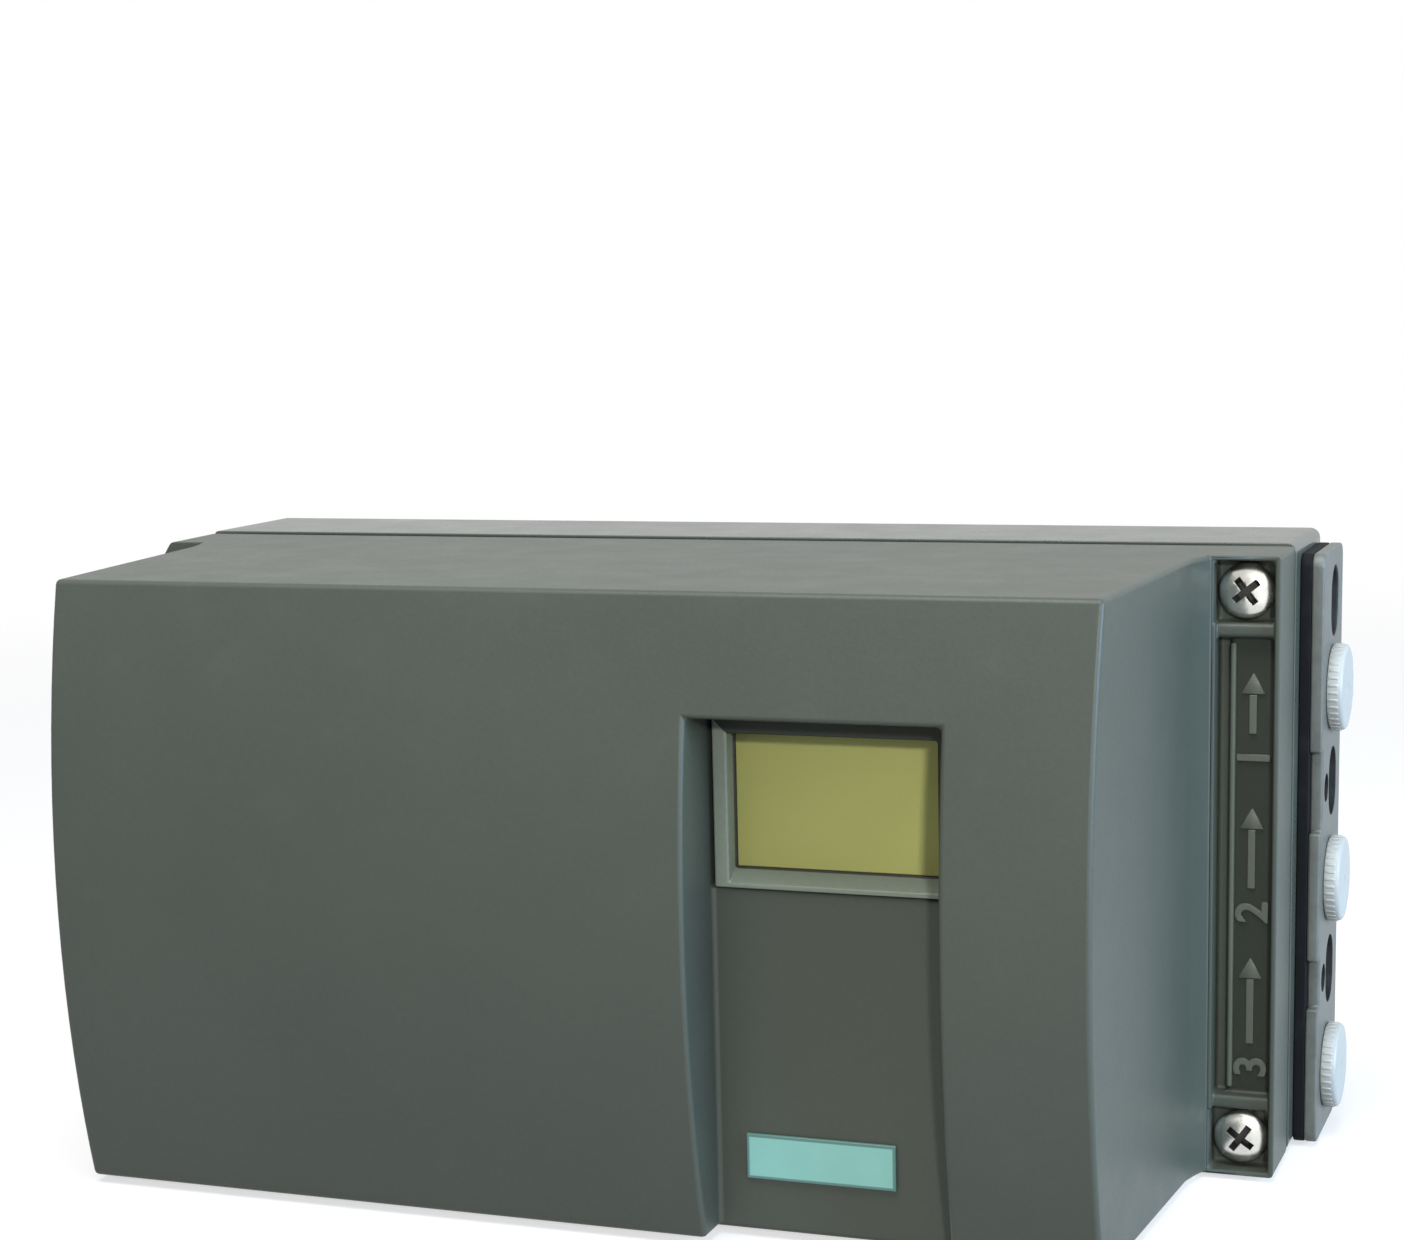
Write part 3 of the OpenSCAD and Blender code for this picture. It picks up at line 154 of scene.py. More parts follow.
class Graph:
    """A node tree with short ways to add what the finishes use."""

    def __init__(self, tree: bpy.types.NodeTree) -> None:
        """Starts from an empty tree."""
        self.tree = tree
        self.tree.nodes.clear()

    def node(
        self,
        kind: str,
        settings: dict[str, Any] | None = None,
        sockets: dict[str | int, Any] | None = None,
    ) -> bpy.types.Node:
        """Adds a node.

        Args:
            kind: The node's type.
            settings: Its properties, set first. "stops" gives a ramp's (place, colour) pairs.
            sockets: A number, colour, Value or socket for each input, by its name or place.

        Returns:
            The new node.
        """
        node = self.tree.nodes.new(kind)
        for name, value in (settings or {}).items():
            if name == "stops":
                self.set_stops(node, value)
            else:
                setattr(node, name, value)
        for name, value in (sockets or {}).items():
            if isinstance(value, Value):
                self.tree.links.new(value.socket, node.inputs[name])
            elif isinstance(value, bpy.types.NodeSocket):
                self.tree.links.new(value, node.inputs[name])
            else:
                node.inputs[name].default_value = value
        return node

    @staticmethod
    def set_stops(node: bpy.types.Node, stops: Sequence[tuple[float, Colour]]) -> None:
        """Puts a ramp's stops in place.

        Args:
            node: The ramp.
            stops: Each stop's place and colour.
        """
        elements = node.color_ramp.elements
        while len(elements) < len(stops):
            elements.new(0.5)
        for element, (place, colour) in zip(elements, stops):
            element.position = place
            element.color = (*colour, 1.0)

    def math(self, operation: str, first: Value | float, second: Value | float = 0.0) -> Value:
        """Adds a Math node for one or two values or numbers, and gives its result."""
        node = self.node("ShaderNodeMath", {"operation": operation}, {0: first, 1: second})
        return Value(self, node.outputs[0])

    def vector(self, operation: str, first: Any, sockets: dict[str | int, Any]) -> bpy.types.NodeSocket:
        """Adds a Vector Math node for a vector and its other inputs, and gives what comes out."""
        return self.node("ShaderNodeVectorMath", {"operation": operation}, {0: first, **sockets}).outputs[0]

    def mix(self, factor: Value | float, low: Any, high: Any) -> bpy.types.NodeSocket:
        """Mixes two colours.

        Args:
            factor: 0 gives the first colour and 1 the second.
            low: The first colour.
            high: The second colour.

        Returns:
            The mixed colour.
        """
        colours = [(*c, 1.0) if isinstance(c, tuple) else c for c in (low, high)]
        node = self.node(
            "ShaderNodeMix", {"data_type": "RGBA", "clamp_factor": True}, {0: factor, 6: colours[0], 7: colours[1]}
        )
        return node.outputs[2]

    def place(self) -> bpy.types.NodeSocket:
        """Gives the point on the piece, in mm."""
        point = self.node("ShaderNodeTexCoord").outputs["Object"]
        return self.vector("SCALE", point, {"Scale": 1000.0})

    def axes(self, point: bpy.types.NodeSocket) -> tuple[Value, Value, Value]:
        """Splits a point into its three values."""
        parts = self.node("ShaderNodeSeparateXYZ", None, {0: point}).outputs
        return Value(self, parts[0]), Value(self, parts[1]), Value(self, parts[2])

    def noise(self, point: bpy.types.NodeSocket, size: float, detail: float = 2.0) -> Value:
        """Adds soft noise.

        Args:
            point: Where it is read.
            size: The size of one patch, in mm.
            detail: How many finer layers it has.

        Returns:
            Values from 0 to 1, about 0.5.
        """
        node = self.node(
            "ShaderNodeTexNoise", None, {"Vector": point, "Scale": 1.0 / size, "Detail": detail, "Roughness": 0.55}
        )
        return Value(self, node.outputs[0])

    def cells(self, point: bpy.types.NodeSocket, size: float, loose: float = 1.0) -> Value:
        """Adds round cells.

        Args:
            point: Where they are read.
            size: The spacing of the cells, in mm.
            loose: 0 sets them on a grid and 1 scatters them.

        Returns:
            The distance from a cell's middle, as a share of the spacing.
        """
        node = self.node(
            "ShaderNodeTexVoronoi", None, {"Vector": point, "Scale": 1.0 / size, "Randomness": loose}
        )
        return Value(self, node.outputs["Distance"])

    def bump(self, height: Value, depth: float) -> bpy.types.NodeSocket:
        """Turns a height from 0 to 1 into a bumped normal, where 1 stands for a depth in mm."""
        return self.node("ShaderNodeBump", None, {"Distance": depth * MM, "Height": height}).outputs[0]

    def principled(self, sockets: dict[str | int, Any]) -> None:
        """Ends the tree with a Principled shader that has these inputs."""
        shader = self.node("ShaderNodeBsdfPrincipled", None, sockets)
        self.node("ShaderNodeOutputMaterial", None, {"Surface": shader.outputs[0]})


def shade(colour: Colour, factor: float) -> Colour:
    """Makes a colour darker or lighter by a factor."""
    return tuple(min(1.0, part * factor) for part in colour)


@dataclass(frozen=True)
class Finish:
    """What a surface is made of, with the record's slot that it stands for."""

    name: str
    slot: str
    made: ClassVar[dict[str, bpy.types.Material]] = {}

    def surface(self, graph: Graph) -> None:
        """Fills a tree with this finish."""
        raise NotImplementedError

    def material(self) -> bpy.types.Material:
        """Makes the material once and gives the same one after that.

        Returns:
            The material.
        """
        if self.name not in Finish.made:
            material = bpy.data.materials.new(self.name)
            material.use_nodes = True
            self.surface(Graph(material.node_tree))
            Finish.made[self.name] = material
        return Finish.made[self.name]

    def dress(self, piece: bpy.types.Object) -> None:
        """Puts the finish on a piece."""
        piece.data.materials.append(self.material())


@dataclass(frozen=True)
class MouldedPlastic(Finish):
    """Plastic from a mould with a fine eroded grain."""

    colour: Colour = (0.1, 0.1, 0.1)
    rough: float = 0.5
    grain: float = 0.45
    depth: float = 0.02
    drift: float = 0.22
    fleck: float = 0.3
    shine: float = 0.5

    def surface(self, graph: Graph) -> None:
        """Mottles the colour slowly, flecks it finely and adds the mould's grain.

        Args:
            graph: The tree that it fills.
        """
        point = graph.place()
        cloud = graph.noise(point, 38.0, 3.0)
        fleck = graph.noise(point, 0.7, 2.0)
        grain = graph.noise(point, self.grain, 3.0)
        rub = graph.noise(point, 9.0, 5.0)
        tone = 0.5 + (cloud - 0.5) * (self.drift * 4.0) + (fleck - 0.5) * (self.fleck * 2.0)
        colour = graph.mix(tone, shade(self.colour, 0.84), shade(self.colour, 1.16))
        worn = graph.mix(rub.rise(0.56, 0.8) * 0.3, colour, shade(self.colour, 1.3))
        rough = self.rough + (grain - 0.5) * 0.14 + (rub - 0.5) * 0.16
        height = grain * 0.75 + fleck * 0.25
        graph.principled({
            "Base Color": worn, "Roughness": rough, "Specular IOR Level": self.shine,
            "Normal": graph.bump(height, self.depth),
        })


class Lay(Enum):
    """The marks that a metal surface keeps from its making."""

    PLATED = "plated"
    TURNED = "turned"
    BRUSHED = "brushed"
    CAST = "cast"
    SINTERED = "sintered"


@dataclass(frozen=True)
class Metal(Finish):
    """A metal with the marks of its making."""

    colour: Colour = (0.6, 0.6, 0.6)
    rough: float = 0.3
    lay: Lay = Lay.PLATED
    metallic: float = 1.0

    def marks(self, graph: Graph, point: bpy.types.NodeSocket) -> tuple[Value, float]:
        """Makes the height of the marks.

        Args:
            graph: The tree.
            point: The point on the piece, in mm.

        Returns:
            The height from 0 to 1, and what 1 stands for in mm.
        """
        if self.lay is Lay.TURNED:
            x, _, z = graph.axes(point)
            radius = (x * x + z * z).root()
            ring = (radius * (2.0 * math.pi / 0.22)).sine() * 0.5 + 0.5
            return ring * 0.7 + graph.noise(point, 0.3) * 0.3, 0.004
        if self.lay is Lay.BRUSHED:
            drawn = graph.vector("MULTIPLY", point, {1: (1.0, 1.0, 0.03)})
            return graph.noise(drawn, 0.12, 3.0), 0.006
        if self.lay is Lay.CAST:
            return graph.noise(point, 0.6, 4.0) * 0.7 + graph.noise(point, 4.0, 2.0) * 0.3, 0.05
        if self.lay is Lay.SINTERED:
            return 1.0 - graph.cells(point, 0.55), 0.25
        return graph.noise(point, 0.35, 3.0), 0.004

    def surface(self, graph: Graph) -> None:
        """Dulls the metal in patches and adds its marks.

        Args:
            graph: The tree that it fills.
        """
        point = graph.place()
        height, depth = self.marks(graph, point)
        patch = graph.noise(point, 3.5, 4.0)
        stain = graph.noise(point, 1.1, 3.0)
        colour = graph.mix(patch.rise(0.3, 0.7), shade(self.colour, 0.82), shade(self.colour, 1.1))
        dulled = graph.mix(stain.rise(0.58, 0.78) * 0.35, colour, shade(self.colour, 0.55))
        rough = self.rough + (patch - 0.5) * 0.22 + (height - 0.5) * 0.1
        graph.principled({
            "Base Color": dulled, "Roughness": rough, "Metallic": self.metallic,
            "Normal": graph.bump(height, depth),
        })


@dataclass(frozen=True)
class Rubber(Finish):
    """Black seal rubber with a dusty bloom."""

    colour: Colour = (0.008, 0.0085, 0.0095)
    rough: float = 0.75

    def surface(self, graph: Graph) -> None:
        """Adds the bloom and a dull fine skin.

        Args:
            graph: The tree that it fills.
        """
        point = graph.place()
        bloom = graph.noise(point, 5.0, 4.0)
        skin = graph.noise(point, 0.25, 3.0)
        colour = graph.mix(bloom.rise(0.45, 0.75) * 0.6, self.colour, shade(self.colour, 2.6))
        graph.principled({
            "Base Color": colour, "Roughness": self.rough + (bloom - 0.5) * 0.25, "Specular IOR Level": 0.1,
            "Normal": graph.bump(skin, 0.015),
        })


@dataclass(frozen=True)
class CircuitBoard(Finish):
    """A green board with tracks under the mask and tinned pads."""

    colour: Colour = (0.012, 0.085, 0.035)

    def surface(self, graph: Graph) -> None:
        """Lays tracks in two directions, and pads with holes on a grid.

        Args:
            graph: The tree that it fills.
        """
        point = graph.place()
        x, _, z = graph.axes(point)
        zone = graph.noise(point, 9.0, 1.0)
        upright = abs((x / 1.27).part() - 0.5).below(0.16) * zone.above(0.5)
        level = abs((z / 1.27).part() - 0.5).below(0.16) * zone.below(0.5)
        track = upright.larger(level)
        flat = graph.vector("MULTIPLY", point, {1: (1.0, 0.0, 1.0)})
        ring = graph.cells(flat, 2.54, 0.0)
        wanted = graph.noise(point, 6.0, 1.0).above(0.56)
        pad = ring.below(0.3) * wanted
        hole = ring.below(0.13) * wanted
        weave = graph.noise(point, 0.5, 3.0)
        mask = graph.mix(weave, shade(self.colour, 0.75), shade(self.colour, 1.2))
        tracked = graph.mix(track * 0.75, mask, shade(self.colour, 2.1))
        padded = graph.mix(pad, tracked, (0.62, 0.62, 0.6))
        colour = graph.mix(hole, padded, (0.01, 0.01, 0.01))
        graph.principled({
            "Base Color": colour, "Roughness": 0.36 - pad * 0.1 + (weave - 0.5) * 0.1,
            "Metallic": pad * 0.9 - hole * 0.9, "Coat Weight": 0.25,
            "Normal": graph.bump(track * 0.5 + pad * 0.5, 0.035),
        })


@dataclass(frozen=True)
class DisplayGlass(Finish):
    """A reflective display: olive ground, fine cells, painted light brightening it to the right and low down, and a
    painted glow.
    """

    colour: Colour = (0.52, 0.525, 0.155)
    left: float = 44.0
    right: float = 73.0
    low: float = 13.5
    high: float = 33.5
    painted_glow: float = 0.09

    def surface(self, graph: Graph) -> None:
        """Draws the cell grid, painted light that brightens the ground to the right and low down, and a painted glow.

        Args:
            graph: The tree that it fills.
        """
        point = graph.place()
        x, _, z = graph.axes(point)
        across = (x - self.left) / (self.right - self.left)
        up = (z - self.low) / (self.high - self.low)
        # painted light: the ground brightens towards the right and towards the bottom
        glow = across * 0.75 - up * 0.35 + 0.2
        cloud = graph.noise(point, 7.0, 3.0)
        ground = graph.node(
            "ShaderNodeValToRGB",
            {"stops": [(0.0, shade(self.colour, 0.85)), (0.55, self.colour), (1.0, shade(self.colour, 1.25))]},
            {0: glow + (cloud - 0.5) * 0.2},
        ).outputs[0]
        gap_x = abs((x / 0.42).part() - 0.5).above(0.44)
        gap_z = abs((z / 0.42).part() - 0.5).above(0.44)
        gap = gap_x.larger(gap_z)
        colour = graph.mix(gap * 0.1, ground, shade(self.colour, 0.4))
        # painted glow: light of the display's own, stronger towards the bottom
        lit = graph.mix((1.0 - up).rise(-0.2, 1.1), shade(self.colour, 0.6), shade(self.colour, 1.3))
        graph.principled({
            "Base Color": colour, "Roughness": 0.4 + (cloud - 0.5) * 0.2, "Specular IOR Level": 0.15,
            "Emission Color": lit, "Emission Strength": self.painted_glow,
        })


@dataclass(frozen=True)
class ClearWindow(Finish):
    """A thin clear pane with wiped smears."""

    colour: Colour = (0.5, 0.53, 0.46)
    cover: float = 0.02

    def surface(self, graph: Graph) -> None:
        """Lets most light through and varies the gloss with faint smears.

        Args:
            graph: The tree that it fills.
        """
        point = graph.place()
        wiped = graph.noise(graph.vector("MULTIPLY", point, {1: (0.25, 1.0, 1.0)}), 3.0, 3.0)
        colour = graph.mix(wiped, shade(self.colour, 0.85), self.colour)
        graph.principled({
            "Base Color": colour, "Roughness": 0.06 + wiped * 0.1, "Alpha": self.cover + wiped * 0.03,
            "Specular IOR Level": 0.5,
        })


@dataclass(frozen=True)
class PrintedPlate(Finish):
    """A bare printed plate with a darker printed border."""

    colour: Colour = (0.265, 0.57, 0.505)
    middle: Place = (0.0, 0.0, 0.0)
    half: tuple[float, float] = (10.4, 3.0)
    border: float = 0.45

    def surface(self, graph: Graph) -> None:
        """Prints the ground with a fine screen, and the border over it.

        Args:
            graph: The tree that it fills.
        """
        point = graph.place()
        x, _, z = graph.axes(graph.vector("SUBTRACT", point, {1: self.middle}))
        over_x = abs(x) - (self.half[0] - self.border)
        over_z = abs(z) - (self.half[1] - self.border)
        border = over_x.larger(over_z).rise(-0.08, 0.08)
        screen = graph.cells(point, 0.28, 0.25)
        cloud = graph.noise(point, 4.0, 3.0)
        ground = graph.mix(cloud * 0.7 + screen * 0.3, shade(self.colour, 0.88), shade(self.colour, 1.12))
        colour = graph.mix(border * 0.85, ground, shade(self.colour, 0.3))
        graph.principled({
            "Base Color": colour, "Roughness": 0.34 + (cloud - 0.5) * 0.2, "Specular IOR Level": 0.5,
            "Normal": graph.bump(border * 0.5 + screen * 0.1, 0.02),
        })


GREY = (0.06, 0.069, 0.054)
HOUSING = MouldedPlastic("housing_plastic", "housing_grey", GREY, rough=0.46, shine=0.36)
# a darker copy of the housing grey: painted shade on the sunk strip's floor and on the window frame's upper and right
# bars
PAINTED_SHADE_PLASTIC = MouldedPlastic("painted_shade_plastic", "housing_grey", shade(GREY, 0.6), rough=0.5, shine=0.2)
# a slightly lighter copy of the housing grey: painted sheen for the glare on the base's top
BASE_PAINTED_SHEEN = MouldedPlastic("base_plastic_painted_sheen", "housing_grey", shade(GREY, 1.1), rough=0.3, depth=0.01)
FRAME = MouldedPlastic("frame_plastic", "housing_grey", shade(GREY, 3.3), rough=0.4, depth=0.012)
# a lighter copy of the housing grey for the raised marks and the bead: painted highlight
MARK_PAINTED_HIGHLIGHT = MouldedPlastic("mark_plastic_painted_highlight", "housing_grey", shade(GREY, 1.7), rough=0.4)
HOUSING_INNER = MouldedPlastic("inner_plastic", "housing_grey", shade(GREY, 1.1), rough=0.55, fleck=0.2)
CARRIER = MouldedPlastic("carrier_plastic", "carrier_grey", (0.32, 0.33, 0.34), rough=0.5)
BLOCK = MouldedPlastic("block_plastic", "block_black", (0.022, 0.023, 0.025), rough=0.48, depth=0.03)
PILOT = MouldedPlastic("pilot_plastic", "pilot_tan", (0.5, 0.36, 0.2), rough=0.45)
GLAND = MouldedPlastic("gland_plastic", "gland_black", (0.02, 0.021, 0.023), rough=0.42)
TERMINAL = MouldedPlastic("terminal_plastic", "terminal_green", (0.03, 0.24, 0.09), rough=0.42, depth=0.012)
CHIP = MouldedPlastic("chip_plastic", "chip_black", (0.016, 0.016, 0.017), rough=0.55, grain=0.2, depth=0.01)
KEY = MouldedPlastic("key_plastic", "key_grey", (0.42, 0.44, 0.45), rough=0.42)
POT = MouldedPlastic("pot_plastic", "pot_blue", (0.02, 0.09, 0.32), rough=0.38, depth=0.01)
GEAR = MouldedPlastic("gear_plastic", "gear_ivory", (0.72, 0.68, 0.56), rough=0.42, depth=0.01)
LEAD = MouldedPlastic("lead_plastic", "lead_grey", (0.3, 0.3, 0.31), rough=0.5, grain=0.3)
CONTROL = MouldedPlastic("control_plastic", "control_yellow", (0.75, 0.5, 0.03), rough=0.4, depth=0.012)
PLUG = MouldedPlastic("plug_plastic", "plug_white", (0.44, 0.445, 0.41), rough=0.38, depth=0.01, drift=0.1, fleck=0.1)
SEAL = Rubber("seal_rubber", "seal_black")
BRASS = Metal("turned_brass", "brass", (0.78, 0.56, 0.24), 0.3, Lay.PLATED)
DIE_CAST = Metal("cast_plate", "die_cast", (0.125, 0.132, 0.115), 0.5, Lay.CAST, metallic=0.15)
# near-black for the faces deep in the port bores: painted shade
BORE_PAINTED_SHADE = Metal("bore_painted_shade", "die_cast", (0.012, 0.013, 0.014), 0.6, Lay.CAST, metallic=0.3)
ZINC = Metal("zinc_steel", "zinc_steel", (0.66, 0.66, 0.63), 0.28, Lay.PLATED)
NICKEL = Metal("nickel_screw", "zinc_steel", (0.72, 0.7, 0.64), 0.24, Lay.PLATED)
# dark metal for the walls and floor of each screw's cross: painted shade in the recess
RECESS_PAINTED_SHADE = Metal("screw_recess_painted_shade", "zinc_steel", (0.06, 0.058, 0.05), 0.5, Lay.PLATED, metallic=0.6)
SHEET = Metal("sheet_steel", "zinc_steel", (0.6, 0.61, 0.61), 0.36, Lay.BRUSHED)
SHAFT = Metal("turned_shaft", "shaft_steel", (0.62, 0.62, 0.61), 0.26, Lay.TURNED)
BRONZE = Metal("sintered_bronze", "sintered_bronze", (0.55, 0.36, 0.17), 0.5, Lay.SINTERED)
BOARD = CircuitBoard("circuit_board", "board_green")
DISPLAY = DisplayGlass("display_glass", "display_olive")
WINDOW = ClearWindow("clear_window", "window_clear")
LABEL = PrintedPlate("printed_label", "label_teal")


def spin_up(profile: Iterable[tuple[float, float]], centre: Vector, axis: Vector, steps: int) -> BMesh:
    """Turns a profile round an axis.

    Args:
        profile: Points (radius, distance along the axis), in mm.
        centre: The place on the axis where that distance is 0, in metres.
        axis: The axis.
        steps: The number of steps in a full turn.

    Returns:
        The turned shape, closed and facing out.
    """
    shape = bmesh.new()
    side = axis.orthogonal().normalized()
    points = [shape.verts.new(centre + side * (r * MM) + axis * (h * MM)) for r, h in profile]
    lines = [shape.edges.new(pair) for pair in zip(points, points[1:])]
    bmesh.ops.spin(
        shape, geom=points + lines, cent=centre, axis=axis, dvec=(0.0, 0.0, 0.0), angle=2.0 * math.pi,
        steps=steps, use_merge=True, use_normal_flip=False, use_duplicate=False,
    )
    bmesh.ops.remove_doubles(shape, verts=shape.verts, dist=1e-7)
    bmesh.ops.recalc_face_normals(shape, faces=shape.faces)
    return shape


def add_block(shape: BMesh, low: Vector, high: Vector, edge: float = 0.0) -> None:
    """Adds a block with rounded edges to a shape.

    Args:
        shape: The shape it goes into.
        low: Its lowest corner, in metres.
        high: Its highest corner.
        edge: The rounding, in mm.
    """
    fit = Matrix.Translation((low + high) / 2.0) @ Matrix.Diagonal((*(high - low), 1.0))
    corners = bmesh.ops.create_cube(shape, size=1.0, matrix=fit)["verts"]
    if edge:
        lines = list({line for corner in corners for line in corner.link_edges})
        bmesh.ops.bevel(
            shape, geom=lines, offset=edge * MM, offset_type="OFFSET", affect="EDGES", segments=2,
            profile=0.5, material=-1,
        )


def mesh_from(name: str, shape: BMesh) -> bpy.types.Mesh:
    """Makes a mesh from a shape, which is used up.

    Args:
        name: The mesh's name.
        shape: The shape.

    Returns:
        The mesh.
    """
    mesh = bpy.data.meshes.new(name)
    shape.to_mesh(mesh)
    shape.free()
    return mesh


def put(name: str, data: bpy.types.ID) -> bpy.types.Object:
    """Puts an object with some data into the scene.

    Args:
        name: The object's name.
        data: Its mesh, curve, lamp or camera.

    Returns:
        The object.
    """
    item = bpy.data.objects.new(name, data)
    bpy.context.scene.collection.objects.link(item)
    return item


def add_shape(shape: BMesh, other: BMesh) -> None:
    """Moves another shape's mesh into a shape.

    Args:
        shape: The shape that takes it in.
        other: The other shape; it is used up.
    """
    mesh = mesh_from("part", other)
    shape.from_mesh(mesh)
    bpy.data.meshes.remove(mesh)


def as_shown(item: bpy.types.Object) -> BMesh:
    """Copies an object's mesh as it shows, with its modifiers.

    Args:
        item: The object.

    Returns:
        The copy.
    """
    shown = item.evaluated_get(bpy.context.evaluated_depsgraph_get())
    mesh = bpy.data.meshes.new_from_object(shown)
    shape = bmesh.new()
    shape.from_mesh(mesh)
    bpy.data.meshes.remove(mesh)
    return shape


def cut_out(shape: BMesh, cutter: BMesh) -> BMesh:
    """Cuts a closed shape out of another.

    Args:
        shape: What is cut; it is used up.
        cutter: What is taken away; it is used up.

    Returns:
        The cut shape.
    """
    pair = [put(name, mesh_from(name, source)) for name, source in (("blank", shape), ("cutter", cutter))]
    tool = pair[0].modifiers.new("cut", "BOOLEAN")
    tool.operation = "DIFFERENCE"
    tool.solver = "EXACT"
    tool.object = pair[1]
    result = as_shown(pair[0])
    for item in pair:
        mesh = item.data
        bpy.data.objects.remove(item)
        bpy.data.meshes.remove(mesh)
    return result


@dataclass(frozen=True)
class EdgeRounder:
    """Rounds the sharp edges of a merged shape as far as there is room.

    The width is in mm. An edge counts as sharp from one angle on, and two edges meet at a corner from another,
    both in degrees. A rounding takes a share of the room beside its edge. Another edge takes room only if it lies
    ahead, which is how much of the way to it points into the face.
    """

    width: float
    sharp: float = 30.0
    corner: float = 60.0
    share: float = 0.3
    ahead: float = 0.2
    open_room: ClassVar[float] = 1.0

    def is_sharp(self, loop: BMLoop) -> bool:
        """Says if a loop's edge is sharp."""
        return len(loop.edge.link_faces) == 2 and loop.edge.calc_face_angle(0.0) > math.radians(self.sharp)

    def room(self, loop: BMLoop) -> float:
        """Measures the room beside an edge.

        Args:
            loop: The edge as it runs round one of its faces.

        Returns:
            The distance over the face to the next sharp edge, in metres.
        """
        start, end = loop.vert.co, loop.link_loop_next.vert.co
        middle = (start + end) / 2.0
        inward = loop.face.normal.cross(end - start).normalized()
        nearest = self.open_room
        for other in loop.face.loops:
            if other is loop or not self.is_sharp(other):
                continue
            tail, head = other.vert.co, other.link_loop_next.vert.co
            along = head - tail
            share = max(0.0, min(1.0, (middle - tail).dot(along) / max(along.length_squared, 1e-18)))
            reach = tail + along * share - middle
            if reach.dot(inward) > self.ahead * reach.length:
                nearest = min(nearest, reach.length)
        return nearest

    def carries_on(self, edge: BMEdge, other: BMEdge, vert: BMVert) -> bool:
        """Says if one edge runs on into another.

        Args:
            edge: The first edge.
            other: The second edge.
            vert: The point where they meet.

        Returns:
            Whether there is no corner between them.
        """
        back = edge.other_vert(vert).co - vert.co
        onward = other.other_vert(vert).co - vert.co
        return back.angle(onward, 0.0) > math.pi - math.radians(self.corner)

    def runs(self, edges: Iterable[BMEdge]) -> list[list[BMEdge]]:
        """Groups edges into runs without corners.

        Args:
            edges: The edges.

        Returns:
            The edges of each run.
        """
        left = set(edges)
        groups = []
        while left:
            group = [left.pop()]
            for edge in group:
                for vert in edge.verts:
                    nexts = [e for e in vert.link_edges if e in left and self.carries_on(edge, e, vert)]
                    left.difference_update(nexts)
                    group.extend(nexts)
            groups.append(group)
        return groups

    def weigh(self, shape: BMesh) -> None:
        """Gives each run of sharp edges the share of the width that fits all along it.

        Args:
            shape: The merged shape.
        """
        layer = shape.edges.layers.float.new("bevel_weight_edge")
        fits = {}
        for edge in shape.edges:
            if edge.link_loops and self.is_sharp(edge.link_loops[0]):
                room = min(self.room(loop) for loop in edge.link_loops)
                fits[edge] = min(1.0, self.share * room / (self.width * MM))
        for run in self.runs(fits):
            least = min(fits[edge] for edge in run)
            for edge in run:
                edge[layer] = least


Rows = tuple[tuple[str, Finish, float], ...]


